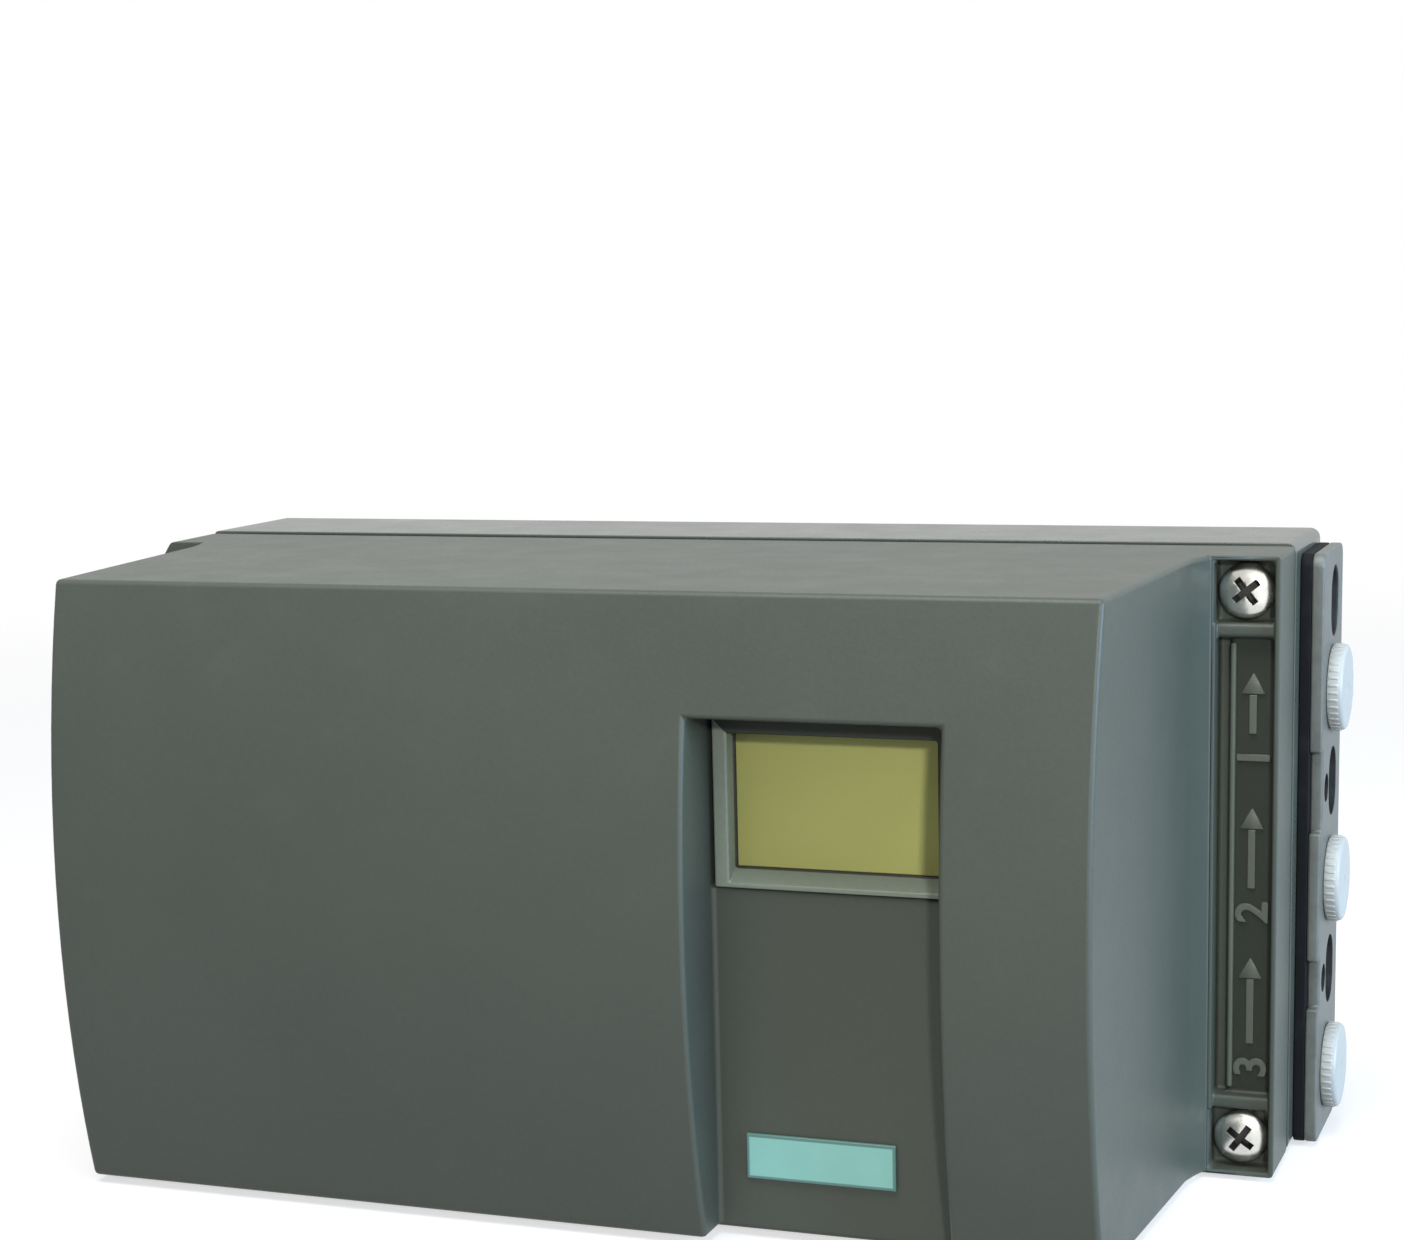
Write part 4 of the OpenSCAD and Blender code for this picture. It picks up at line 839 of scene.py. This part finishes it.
@dataclass
class SubAssembly:
    """Shared ways to copy, round, dress and hang the pieces of a sub-assembly.

    A row gives a CAD node, its finish and the rounding of its edges in mm. Points of a copy closer than weld, in mm,
    become one, and faces within flat, in degrees, are joined.
    """

    rows: Rows = ()
    weld: ClassVar[float] = 0.001
    flat: ClassVar[float] = 0.5

    def build(self) -> None:
        """Finishes the CAD nodes of the rows."""
        for node, finish, edge in self.rows:
            self.finished(node, finish, edge)

    def copy_node(self, node: str, weld: float = weld) -> BMesh:
        """Copies a CAD node's mesh, merged and with its flat faces whole.

        Args:
            node: The CAD node.
            weld: Points closer than this become one, in mm.

        Returns:
            The copy.
        """
        shape = bmesh.new()
        shape.from_mesh(frame["nodes"][node].data)
        bmesh.ops.remove_doubles(shape, verts=shape.verts, dist=weld * MM)
        bmesh.ops.dissolve_limit(
            shape, angle_limit=math.radians(self.flat), use_dissolve_boundaries=False, verts=shape.verts,
            edges=shape.edges, delimit=set(),
        )
        return shape

    def piece(
        self,
        name: str,
        shape: BMesh,
        body: str,
        finish: Finish,
        stands_for: Sequence[str] = (),
    ) -> bpy.types.Object:
        """Makes a piece from a shape.

        Args:
            name: The piece's name.
            shape: Its mesh, in the frame's metres; it is used up.
            body: The body that it rides on.
            finish: What it is made of.
            stands_for: The CAD nodes that it replaces.

        Returns:
            The piece.
        """
        mesh = mesh_from(name, shape)
        if "custom_normal" in mesh.attributes:
            mesh.attributes.remove(mesh.attributes["custom_normal"])
        mesh.polygons.foreach_set("use_smooth", [True] * len(mesh.polygons))
        item = put(name, mesh)
        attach(item, body)
        if stands_for:
            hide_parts(*stands_for)
        finish.dress(item)
        LOG.info("%s rides on %s, %s", name, body, finish.name)
        return item

    def even_normals(self, item: bpy.types.Object) -> None:
        """Lets large faces keep their flat shading.

        Args:
            item: The piece.
        """
        weighted = item.modifiers.new("even_normals", "WEIGHTED_NORMAL")
        weighted.weight = 60
        weighted.keep_sharp = False

    def add_inner(self, item: bpy.types.Object, inner: Finish) -> None:
        """Adds the finish of the faces that were set apart with the second material's number."""
        item.data.materials.append(inner.material())

    def set_apart(self, shape: BMesh, chosen: Callable[[BMFace], bool]) -> None:
        """Gives the faces that are chosen the second material's number."""
        for face in shape.faces:
            face.material_index = int(chosen(face))

    def finished(
        self,
        node: str,
        finish: Finish,
        edge: float = 0.3,
        segments: int = 2,
        inner: Finish | None = None,
        chosen: Callable[[BMFace], bool] | None = None,
        weld: float = weld,
    ) -> bpy.types.Object:
        """Replaces a CAD node with a copy that has rounded edges and a finish.

        Args:
            node: The CAD node.
            finish: What it is made of.
            edge: The rounding of its edges, in mm.
            segments: The steps in a rounded edge.
            inner: A second finish, for the chosen faces.
            chosen: Says if a face has the second finish.
            weld: Points of the copy closer than this become one, in mm.

        Returns:
            The piece.
        """
        shape = self.copy_node(node, weld)
        EdgeRounder(edge).weigh(shape)
        bmesh.ops.connect_verts_concave(shape, faces=[face for face in shape.faces if len(face.verts) > 4])
        if chosen:
            self.set_apart(shape, chosen)
        item = self.piece("finished_" + node, shape, frame["nodes"][node]["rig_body"], finish, [node])
        if inner:
            self.add_inner(item, inner)
        bevel = item.modifiers.new("rounded_edges", "BEVEL")
        bevel.limit_method = "WEIGHT"
        bevel.width = edge * MM
        bevel.segments = segments
        bevel.profile = 0.5
        bevel.use_clamp_overlap = False
        bevel.loop_slide = False
        self.even_normals(item)
        return item


@dataclass
class BaseHousing(SubAssembly):
    """The base with its gasket and inserts."""

    rows: Rows = (
        ("base_housing", BASE_PAINTED_SHEEN, 0.5),
        ("cover_gasket", SEAL, 0.4),
        ("cover_screw_inserts", BRASS, 0.15),
        ("mounting_inserts", BRASS, 0.15),
    )


@dataclass
class PortSide(SubAssembly):
    """The port plate on the right with its gasket, screws and plugs."""

    plate_edge: float = 0.4
    plug_heights: tuple[float, float, float] = (22.9, -6.2, -35.3)
    plug_y: float = -10.2
    plate_x: float = 94.3
    bore_depth: float = 92.4
    head_radius: float = 6.4
    head_length: float = 2.4
    rib_radius: float = 6.5
    rib_count: int = 36
    rib_width: float = 0.5
    rib_edge: float = 0.14
    stem_radius: float = 5.65
    stem_length: float = 10.0
    snap_rings: tuple[float, float, float] = (2.2, 5.0, 7.8)
    snap_depth: float = 0.15
    wall: float = 1.2
    turn_steps: int = 56
    gasket_edge: float = 0.25
    screw_edge: float = 0.2
    plate_weld: float = 0.015

    def plug_shape(self, height: float) -> BMesh:
        """Turns a plug with a closed head, ribs round it and a hollow stem with snap rings.

        Args:
            height: The plug's height on the housing, in mm.

        Returns:
            The plug.
        """
        r, h, s, n = self.head_radius, self.head_length, self.stem_radius, self.stem_length
        inner, neck = s - self.wall, s - self.snap_depth
        rings = []
        for step in self.snap_rings:
            rings += [(neck, 0.6 - step), (s, 0.1 - step), (neck, -0.4 - step)]
        profile = [
            (0.0, h - 0.2), (0.5, h - 0.2), (0.8, h - 0.03), (1.1, h), (r - 0.8, h), (r - 0.35, h - 0.1),
            (r - 0.1, h - 0.35), (r, h - 0.8), (r, 0.25), (r - 0.2, 0.02), (neck, 0.02), *rings,
            (neck, 0.8 - n), (s - 0.6, -n), (inner, -n), (inner, h - self.wall - 0.6),
            (inner - 0.6, h - self.wall), (0.0, h - self.wall),
        ]
        centre = at(self.plate_x, self.plug_y, height)
        shape = spin_up(profile, centre, Vector((1.0, 0.0, 0.0)), self.turn_steps)
        for index in range(self.rib_count):
            rib = bmesh.new()
            low = Vector((0.3, -self.rib_width / 2.0, self.head_radius - 0.4)) * MM
            high = Vector((h - 0.7, self.rib_width / 2.0, self.rib_radius)) * MM
            add_block(rib, low, high, self.rib_edge)
            turn = Matrix.Rotation(2.0 * math.pi * index / self.rib_count, 4, "X")
            bmesh.ops.transform(rib, matrix=Matrix.Translation(centre) @ turn, verts=rib.verts)
            add_shape(shape, rib)
        return shape

    def in_bore(self, face: BMFace) -> bool:
        """Says if a face of the plate lies deep in one of its bores, where shade is painted."""
        return face.calc_center_median().x < at(self.bore_depth, 0.0, 0.0).x

    def build(self) -> None:
        """Dresses the plate and makes the plugs."""
        self.finished("port_gasket", SEAL, self.gasket_edge)
        # the faces deep in the bores take the near-black finish: painted shade
        self.finished(
            "port_plate", DIE_CAST, self.plate_edge, inner=BORE_PAINTED_SHADE, chosen=self.in_bore, weld=self.plate_weld
        )
        self.finished("port_plate_screws", ZINC, self.screw_edge)
        for place, height in zip(("upper", "middle", "lower"), self.plug_heights):
            item = self.piece(
                f"ribbed_plug_{place}", self.plug_shape(height), f"plug_{place}", PLUG, [f"port_plug_{place}"]
            )
            self.even_normals(item)


@dataclass
class CableEntries(SubAssembly):
    """The cable gland and the blanking plug on the left."""

    rows: Rows = (
        ("gland_body", GLAND, 0.35),
        ("gland_nut", GLAND, 0.35),
        ("blanking_plug", GLAND, 0.35),
        ("gland_seal", SEAL, 0.3),
        ("entry_o_rings", SEAL, 0.3),
    )


@dataclass
class Wiring(SubAssembly):
    """The terminals, their carrier and the shield plate."""

    rows: Rows = (
        ("terminal_carrier", CARRIER, 0.25),
        ("terminal_strip", TERMINAL, 0.25),
        ("shield_plate", SHEET, 0.2),
        ("carrier_screws", ZINC, 0.2),
        ("terminal_screws", ZINC, 0.2),
        ("shield_screws", ZINC, 0.2),
    )


@dataclass
class Pneumatics(SubAssembly):
    """The valve block with its pilot unit, restrictors and purge knob."""

    rows: Rows = (
        ("valve_block", BLOCK, 0.4),
        ("valve_block_screws", ZINC, 0.2),
        ("piezo_valve_unit", PILOT, 0.3),
        ("exhaust_silencer", BRONZE, 0.3),
        ("purge_selector", CONTROL, 0.3),
        ("restrictor_left", BRASS, 0.2),
        ("restrictor_right", BRASS, 0.2),
    )


@dataclass
class Electronics(SubAssembly):
    """The tray with its board, display and keys."""

    rows: Rows = (
        ("electronics_tray", HOUSING_INNER, 0.3),
        ("main_board", BOARD, 0.15),
        ("board_components", CHIP, 0.15),
        ("board_screws", ZINC, 0.2),
        ("lcd_holder", CHIP, 0.25),
        ("lcd_glass", DISPLAY, 0.12),
        ("button_guide", HOUSING_INNER, 0.3),
        ("button_switches", CHIP, 0.2),
    )
    key_edge: float = 0.4
    key_steps: int = 3
    board_front: float = -65.3
    part_area: tuple[float, float, float, float] = (18.0, 61.0, -16.5, 36.5)
    part_sizes: tuple[tuple[float, float], ...] = ((1.6, 0.8), (2.0, 1.25), (0.8, 1.6))
    part_height: float = 0.6
    part_edge: float = 0.08
    part_reach: float = 2.2
    part_count: int = 46
    seed: int = 7

    def taken(self, x: float, z: float) -> bool:
        """Says if a place on the board is under another part.

        Args:
            x: The place across the housing, in mm.
            z: The place up the housing, in mm.

        Returns:
            Whether the display's holder or the keys cover it.
        """
        for node in ("lcd_holder", "button_guide", "button_switches"):
            low, high = (corner / MM - HOUSING_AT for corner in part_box(node))
            inside_x = low.x - self.part_reach < x < high.x + self.part_reach
            inside_z = low.z - self.part_reach < z < high.z + self.part_reach
            if inside_x and inside_z:
                return True
        return False

    def small_parts(self) -> BMesh:
        """Sets small soldered parts on the free places of the board.

        Returns:
            The parts as one shape.
        """
        chance = random.Random(self.seed)
        shape = bmesh.new()
        x0, x1, z0, z1 = self.part_area
        for _ in range(self.part_count):
            x, z = chance.uniform(x0, x1), chance.uniform(z0, z1)
            long, wide = chance.choice(self.part_sizes)
            if self.taken(x, z):
                continue
            low = at(x - long / 2.0, self.board_front - self.part_height, z - wide / 2.0)
            high = at(x + long / 2.0, self.board_front, z + wide / 2.0)
            add_block(shape, low, high, self.part_edge)
        return shape

    def build(self) -> None:
        """Dresses the electronics."""
        super().build()
        for node in ("button_hand", "button_down", "button_up"):
            self.finished(node, KEY, self.key_edge, self.key_steps)
        self.even_normals(self.piece("small_board_parts", self.small_parts(), "base", CHIP))


@dataclass
class FeedbackDrive(SubAssembly):
    """The feedback shaft, its gears and clutch, and the potentiometer."""

    rows: Rows = (
        ("pot_bracket", SHEET, 0.2),
        ("bracket_screws", ZINC, 0.2),
        ("potentiometer", POT, 0.3),
        ("pot_cable", LEAD, 0.3),
        ("pot_gear", GEAR, 0.2),
        ("drive_gear", GEAR, 0.2),
        ("ratio_selector", CONTROL, 0.3),
        ("clutch_wheel", CONTROL, 0.25),
        ("clutch_spring", SHEET, 0.15),
        ("clutch_nut", ZINC, 0.2),
        ("shaft_bush", BRASS, 0.2),
        ("shaft_seal", SEAL, 0.25),
        ("shaft_circlip", ZINC, 0.12),
        ("feedback_shaft", SHAFT, 0.2),
    )


@dataclass
class Cover(SubAssembly):
    """The lift-off cover with its window, label plate, raised marks and screws."""

    edge: float = 0.75
    edge_steps: int = 3
    cover_weld: float = 0.015
    frame_edge: float = 0.35
    painted_shade_bar: float = 2.4
    pane_edge: float = 0.2
    label_edge: float = 0.15
    screw_places: tuple[tuple[float, float, float], ...] = (
        (-85.7, -33.5, 18.0), (-85.7, 33.5, 63.0), (85.7, -40.0, 36.0), (85.7, 40.0, 52.0),
    )
    head_front: float = -36.2
    head_radius: float = 4.0
    head_height: float = 2.6
    dome_angle: float = 78.0
    dome_rise: float = 1.5
    dome_steps: int = 7
    turn_steps: int = 48
    cut_edge: float = 0.08
    cut_angle: float = 0.7
    shank_radius: float = 1.95
    shank_length: float = 14.8
    recess_length: float = 2.75
    recess_width: float = 1.0
    recess_depth: float = 1.7
    recess_taper: float = 0.55
    recess_slack: tuple[float, float] = (0.3, 0.1)
    wall_slope: float = 0.6
    panel_x: float = 86.7
    panel_y: float = -34.6
    strip_half: float = 5.0
    strip_slack: float = 0.3
    bead: tuple[float, float, float] = (83.5, 84.3, 32.6)
    bead_rise: float = 0.6
    bead_sink: float = 0.2
    bead_edge: float = 0.25
    mark_height: float = 0.7
    mark_size: float = 4.6
    mark_edge: float = 0.08
    numeral_scale: float = 1.4
    arrow_start: float = 1.1
    arrow_edge: float = 0.1
    arrow_head: float = 3.4
    arrow_tip: float = 0.667
    arrow_half: float = 0.55
    arrow_radii: tuple[float, float] = (2.1, 1.9)
    upright: ClassVar[Matrix] = Matrix(
        ((0.0, -1.0, 0.0, 0.0), (0.0, 0.0, -1.0, 0.0), (1.0, 0.0, 0.0, 0.0), (0.0, 0.0, 0.0, 1.0))
    )
    marks: tuple[tuple[str, float, float], ...] = (("1", 14.5, 9.0), ("2", -8.0, 12.0), ("3", -31.0, 13.0))

    def screw_blank(self, centre: Vector) -> BMesh:
        """Turns a pan-head screw.

        Args:
            centre: The middle of the head's front, in metres.

        Returns:
            The screw before its recess is cut.
        """
        r, h = self.head_radius, self.head_height
        dome = []
        widest = math.sin(math.radians(self.dome_angle))
        for step in range(self.dome_steps + 1):
            angle = math.radians(self.dome_angle * step / self.dome_steps)
            dome.append((r * math.sin(angle) / widest, self.dome_rise * (1.0 - math.cos(angle))))
        k = self.shank_radius
        profile = dome + [(r, h - 0.25), (r - 0.25, h), (k, h), (k, h + self.shank_length - 0.7),
                          (k - 0.7, h + self.shank_length), (0.0, h + self.shank_length)]
        return spin_up(profile, centre, Vector((0.0, 1.0, 0.0)), self.turn_steps)

    def recess(self, centre: Vector, turn: float) -> BMesh:
        """Makes the tapered cross that is cut into a head.

        Args:
            centre: The middle of the head's front, in metres.
            turn: The cross's angle, in degrees.

        Returns:
            The cross as a closed shape.
        """
        cross = bmesh.new()
        bmesh.ops.create_cube(cross, size=1.0)
        for axis_index in (0, 2):
            for side in (1.0, -1.0):
                face = next(f for f in cross.faces if f.normal[axis_index] * side > FACING)
                arm = bmesh.ops.extrude_discrete_faces(cross, faces=[face])["faces"]
                shift = Vector((0.0, 0.0, 0.0))
                shift[axis_index] = side * 1.0
                bmesh.ops.translate(cross, vec=shift, verts=list({v for f in arm for v in f.verts}))
        bmesh.ops.remove_doubles(cross, verts=cross.verts, dist=1e-6)
        across = self.recess_width
        reach = (self.recess_length - across / 2.0) / across
        for vert in cross.verts:
            deep = vert.co.y > 0.0
            for axis_index in (0, 2):
                if abs(vert.co[axis_index]) > 1.0:
                    vert.co[axis_index] *= (0.5 + reach) / 1.5 * (self.recess_taper if deep else 1.0)
            vert.co.x *= across
            vert.co.z *= across
            vert.co.y = self.recess_depth if deep else -1.0
        place = Matrix.Translation(centre) @ Matrix.Rotation(math.radians(turn), 4, "Y") @ Matrix.Scale(MM, 4)
        bmesh.ops.transform(cross, matrix=place, verts=cross.verts)
        bmesh.ops.recalc_face_normals(cross, faces=cross.faces)
        return cross

    def screws_shape(self) -> BMesh:
        """Makes the four cover screws, each with its cross at its own angle.

        Returns:
            The screws as one shape.
        """
        shape = bmesh.new()
        for x, z, turn in self.screw_places:
            centre = at(x, self.head_front, z)
            screw = cut_out(self.screw_blank(centre), self.recess(centre, turn))
            self.set_apart(screw, lambda f, c=centre: self.in_recess(f, c))
            lines = [e for e in screw.edges if len(e.link_faces) == 2 and e.calc_face_angle(0.0) > self.cut_angle]
            bmesh.ops.bevel(
                screw, geom=lines, offset=self.cut_edge * MM, offset_type="OFFSET", affect="EDGES", segments=2,
                profile=0.5, material=-1, clamp_overlap=True,
            )
            add_shape(shape, screw)
        return shape

    def in_recess(self, face: BMFace, centre: Vector) -> bool:
        """Says if a face of a screw lies in the recess of its head, where shade is painted.

        Args:
            face: The face.
            centre: The middle of the head's front, in metres.

        Returns:
            Whether the face is a wall or the floor of the cross.
        """
        away = face.calc_center_median() - centre
        out = Vector((away.x, 0.0, away.z))
        above, below = self.recess_slack
        upright = abs(face.normal.y) < self.wall_slope
        floor = away.y > (self.recess_depth - above) * MM
        inside = out.length < self.recess_length * MM and 0.0 < away.y < (self.recess_depth + below) * MM
        return inside and (upright or floor)

    def numeral(self, text: str) -> BMesh:
        """Makes a raised numeral, flat on the plane, with its left foot on the origin.

        Args:
            text: The numeral.

        Returns:
            The numeral, in mm.
        """
        curve = bpy.data.curves.new("numeral", "FONT")
        curve.body = text
        curve.size = self.mark_size * self.numeral_scale
        curve.extrude = self.mark_height / 2.0
        curve.offset = self.mark_edge
        curve.bevel_depth = self.mark_edge
        curve.resolution_u = 4
        item = put("numeral", curve)
        shape = as_shown(item)
        bmesh.ops.remove_doubles(shape, verts=shape.verts, dist=1e-5)
        bpy.data.objects.remove(item)
        bpy.data.curves.remove(curve)
        return shape

    def arrow(self, start: float, length: float) -> BMesh:
        """Makes a raised arrow along X, on the plane.

        Args:
            start: Where its tail is, in mm.
            length: Its length, in mm.

        Returns:
            The arrow, in mm.
        """
        shape = bmesh.new()
        half = self.mark_height / 2.0
        head = self.arrow_head
        middle = self.mark_size / 2.0
        low = Vector((start, middle - self.arrow_half, -half))
        high = Vector((start + length - head, middle + self.arrow_half, half))
        add_block(shape, low, high, self.arrow_edge / MM)
        place = Matrix.Translation((start + length - head * self.arrow_tip, middle, 0.0))
        tip = place @ Matrix.Rotation(-math.pi / 2, 4, "Z")
        bmesh.ops.create_cone(
            shape, cap_ends=True, segments=3, radius1=self.arrow_radii[0], radius2=self.arrow_radii[1],
            depth=self.mark_height, matrix=tip,
        )
        return shape

    def marks_shape(self) -> BMesh:
        """Sets plain numerals and arrows for the three ports on the right flange's strip.

        Returns:
            The marks as one shape.
        """
        shape = bmesh.new()
        for text, foot, length in self.marks:
            group = self.numeral(text)
            add_shape(group, self.arrow(self.mark_size * self.arrow_start, length))
            corner = at(self.panel_x + self.mark_size / 2.0, self.panel_y, foot)
            fit = Matrix.Translation(corner) @ Matrix.Scale(MM, 4) @ self.upright
            bmesh.ops.transform(group, matrix=fit, verts=group.verts)
            add_shape(shape, group)
        return shape

    def bead_shape(self) -> BMesh:
        """Makes the thin raised bead along the strip's left edge.

        Returns:
            The bead.
        """
        shape = bmesh.new()
        left, right, half = self.bead
        low = at(left, self.panel_y - self.bead_rise, -half)
        high = at(right, self.panel_y + self.bead_sink, half)
        add_block(shape, low, high, self.bead_edge)
        return shape

    def on_strip(self, face: BMFace) -> bool:
        """Says if a face of the cover is the sunk strip that carries the marks, where shade is painted.

        Args:
            face: The face.

        Returns:
            Whether it lies on the strip's floor.
        """
        away = face.calc_center_median() - at(self.panel_x, self.panel_y, 0.0)
        inside = abs(away.x) < self.strip_half * MM and abs(away.y) < self.strip_slack * MM
        return inside and face.normal.y < -FACING

    def on_painted_shade_bars(self, face: BMFace) -> bool:
        """Says if a face of the window's frame is on its upper or right bar, where shade is painted.

        Args:
            face: The face.

        Returns:
            Whether it lies on one of those bars.
        """
        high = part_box("window_frame")[1]
        middle = face.calc_center_median()
        return high.z - middle.z < self.painted_shade_bar * MM or high.x - middle.x < self.painted_shade_bar * MM

    def build(self) -> None:
        """Dresses the cover and makes its screws and marks."""
        # the sunk strip's floor takes the darker grey: painted shade
        self.finished(
            "front_cover", HOUSING, self.edge, self.edge_steps, PAINTED_SHADE_PLASTIC, self.on_strip, self.cover_weld
        )
        # the frame's upper and right bars take the darker grey: painted shade along the window's top and right
        self.finished("window_frame", FRAME, self.frame_edge, inner=PAINTED_SHADE_PLASTIC, chosen=self.on_painted_shade_bars)
        self.finished("window_pane", WINDOW, self.pane_edge)
        low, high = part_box("label_plate")
        middle = (low + high) / 2.0 / MM
        half = (high - low) / 2.0 / MM
        plate = replace(LABEL, middle=tuple(middle), half=(half.x, half.z))
        self.finished("label_plate", plate, self.label_edge)
        screws = self.piece("cross_head_screws", self.screws_shape(), "cover", NICKEL, ["cover_screws"])
        # the recess faces take the dark metal: painted shade
        self.add_inner(screws, RECESS_PAINTED_SHADE)
        self.even_normals(screws)
        # the marks and the bead take the lighter grey: painted highlight
        self.even_normals(self.piece("raised_port_marks", self.marks_shape(), "cover", MARK_PAINTED_HIGHLIGHT))
        self.even_normals(self.piece("panel_bead", self.bead_shape(), "cover", MARK_PAINTED_HIGHLIGHT))


@dataclass
class Softbox:
    """A round lamp that faces the object."""

    name: str
    place: Place
    size: float
    power: float
    colour: Colour = (1.0, 1.0, 1.0)

    def build(self, target: Vector) -> None:
        """Hangs the lamp and turns it to the target.

        Args:
            target: The point that it faces, in metres.
        """
        lamp = bpy.data.lights.new(self.name, "AREA")
        lamp.shape = "DISK"
        lamp.size = self.size
        lamp.energy = self.power
        lamp.color = self.colour
        item = put(self.name, lamp)
        item.location = Vector(self.place)
        item.rotation_euler = (Vector(self.place) - target).to_track_quat("Z", "Y").to_euler()


@dataclass
class Studio:
    """The camera, the lamps, the white surround and the pale floor."""

    azimuth: float = 20.649
    elevation: float = 10.446
    roll: float = -1.404
    distance: float = 417.96
    target: Place = (26.038, -43.0, 19.019)
    focal: float = 2788.64
    sensor: float = 36.0
    image_width: float = 1404.0
    image_height: float = 1240.0
    axis_row: float = 780.0
    surround: float = 0.1
    lamp_aim: Place = (0.0, -43.0, 0.0)
    floor_reach: float = 0.9
    floor_centre: tuple[float, float] = (20.0, -40.0)
    floor_fade: tuple[float, float] = (180.0, 810.0)
    floor_gap: float = 0.3
    floor_bounce: float = 0.2
    floor_tone: float = 0.42
    floor_glow: float = 0.62
    lamps: tuple[Softbox, ...] = (
        Softbox("overhead_softbox", (0.02, -0.38, 0.91), 0.7, 9.8),
        Softbox("right_softbox", (0.97, -0.26, 0.26), 0.5, 14.5, (0.49, 0.71, 1.0)),
        Softbox("key_softbox", (0.344, -0.72, 0.25), 0.05, 2.5),
    )

    def build_camera(self) -> None:
        """Stands the camera where the photograph was taken from."""
        az, el, roll = (math.radians(a) for a in (self.azimuth, self.elevation, self.roll))
        back = Vector((math.sin(az) * math.cos(el), -math.cos(az) * math.cos(el), math.sin(el)))
        right = Vector((math.cos(az), math.sin(az), 0.0))
        up = back.cross(right)
        side = right * math.cos(roll) + up * math.sin(roll)
        top = up * math.cos(roll) - right * math.sin(roll)
        eye = (Vector(self.target) + back * self.distance) * MM
        lens = bpy.data.cameras.new("camera")
        lens.sensor_width = self.sensor
        lens.lens = self.focal / self.image_width * self.sensor
        lens.shift_y = (self.axis_row - self.image_height / 2.0) / self.image_width
        lens.clip_start = 0.01
        item = put("camera", lens)
        item.matrix_world = Matrix.Translation(eye) @ Matrix((side, top, back)).transposed().to_4x4()
        bpy.context.scene.camera = item

    def seen(self, graph: Graph) -> Value:
        """Gives 1 for a ray that shows the background and 0 for one that carries light.

        Args:
            graph: The tree.

        Returns:
            1 or 0, as a value of the tree.
        """
        path = graph.node("ShaderNodeLightPath").outputs
        camera = Value(graph, path["Is Camera Ray"])
        glossy = Value(graph, path["Is Glossy Ray"])
        through = Value(graph, path["Is Transmission Ray"])
        return camera.larger(glossy).larger(through)

    def build_world(self) -> None:
        """Makes the surround white to the eye and a plain grey as light."""
        world = bpy.data.worlds.new("surround")
        world.use_nodes = True
        bpy.context.scene.world = world
        graph = Graph(world.node_tree)
        light = graph.node("ShaderNodeBackground", None, {0: (1.0, 1.0, 1.0, 1.0), 1: self.surround})
        white = graph.node("ShaderNodeBackground", None, {0: (1.0, 1.0, 1.0, 1.0), 1: 1.0})
        both = graph.node(
            "ShaderNodeMixShader", None, {0: self.seen(graph), 1: light.outputs[0], 2: white.outputs[0]}
        )
        graph.node("ShaderNodeOutputWorld", None, {"Surface": both.outputs[0]})

    def build_floor(self) -> None:
        """Lays a pale round floor that fades into the surround."""
        shape = bmesh.new()
        height = CAD_BOX[0][2] - self.floor_gap * MM
        middle_x, middle_y = self.floor_centre
        centre = Matrix.Translation((middle_x * MM, middle_y * MM, height))
        bmesh.ops.create_circle(shape, cap_ends=True, segments=96, radius=self.floor_reach, matrix=centre)
        mesh = mesh_from("floor", shape)
        item = put("floor", mesh)
        material = bpy.data.materials.new("pale_floor")
        material.use_nodes = True
        graph = Graph(material.node_tree)
        point = graph.place()
        x, y, _ = graph.axes(graph.vector("SUBTRACT", point, {1: (middle_x, middle_y, 0.0)}))
        radius = (x * x + y * y).root()
        fade = radius.rise(*self.floor_fade)
        plain = graph.node("ShaderNodeBsdfDiffuse", None, {0: (*[self.floor_bounce] * 3, 1.0)})
        pale = graph.node("ShaderNodeBsdfDiffuse", None, {0: (*[self.floor_tone] * 3, 1.0)})
        glow = graph.node("ShaderNodeEmission", None, {0: (1.0, 1.0, 1.0, 1.0), 1: self.floor_glow})
        shown = graph.node("ShaderNodeAddShader", None, {0: pale.outputs[0], 1: glow.outputs[0]})
        lit = graph.node("ShaderNodeMixShader", None, {0: self.seen(graph), 1: plain.outputs[0], 2: shown.outputs[0]})
        clear = graph.node("ShaderNodeBsdfTransparent")
        both = graph.node("ShaderNodeMixShader", None, {0: fade, 1: lit.outputs[0], 2: clear.outputs[0]})
        graph.node("ShaderNodeOutputMaterial", None, {"Surface": both.outputs[0]})
        mesh.materials.append(material)

    def build(self) -> None:
        """Sets up the studio."""
        self.build_camera()
        self.build_world()
        self.build_floor()
        for lamp in self.lamps:
            lamp.build(at(*self.lamp_aim))
        bpy.context.scene.view_settings.view_transform = "Standard"
        LOG.info("studio set up")


def main() -> None:
    """Builds the sub-assemblies in order, then the studio."""
    logging.basicConfig(level=logging.INFO, format="%(name)s: %(message)s")
    for maker in (
        BaseHousing(), PortSide(), CableEntries(), Wiring(), Pneumatics(), Electronics(), FeedbackDrive(), Cover(),
    ):
        maker.build()
    Studio().build()


if __name__ == "__main__":
    main()
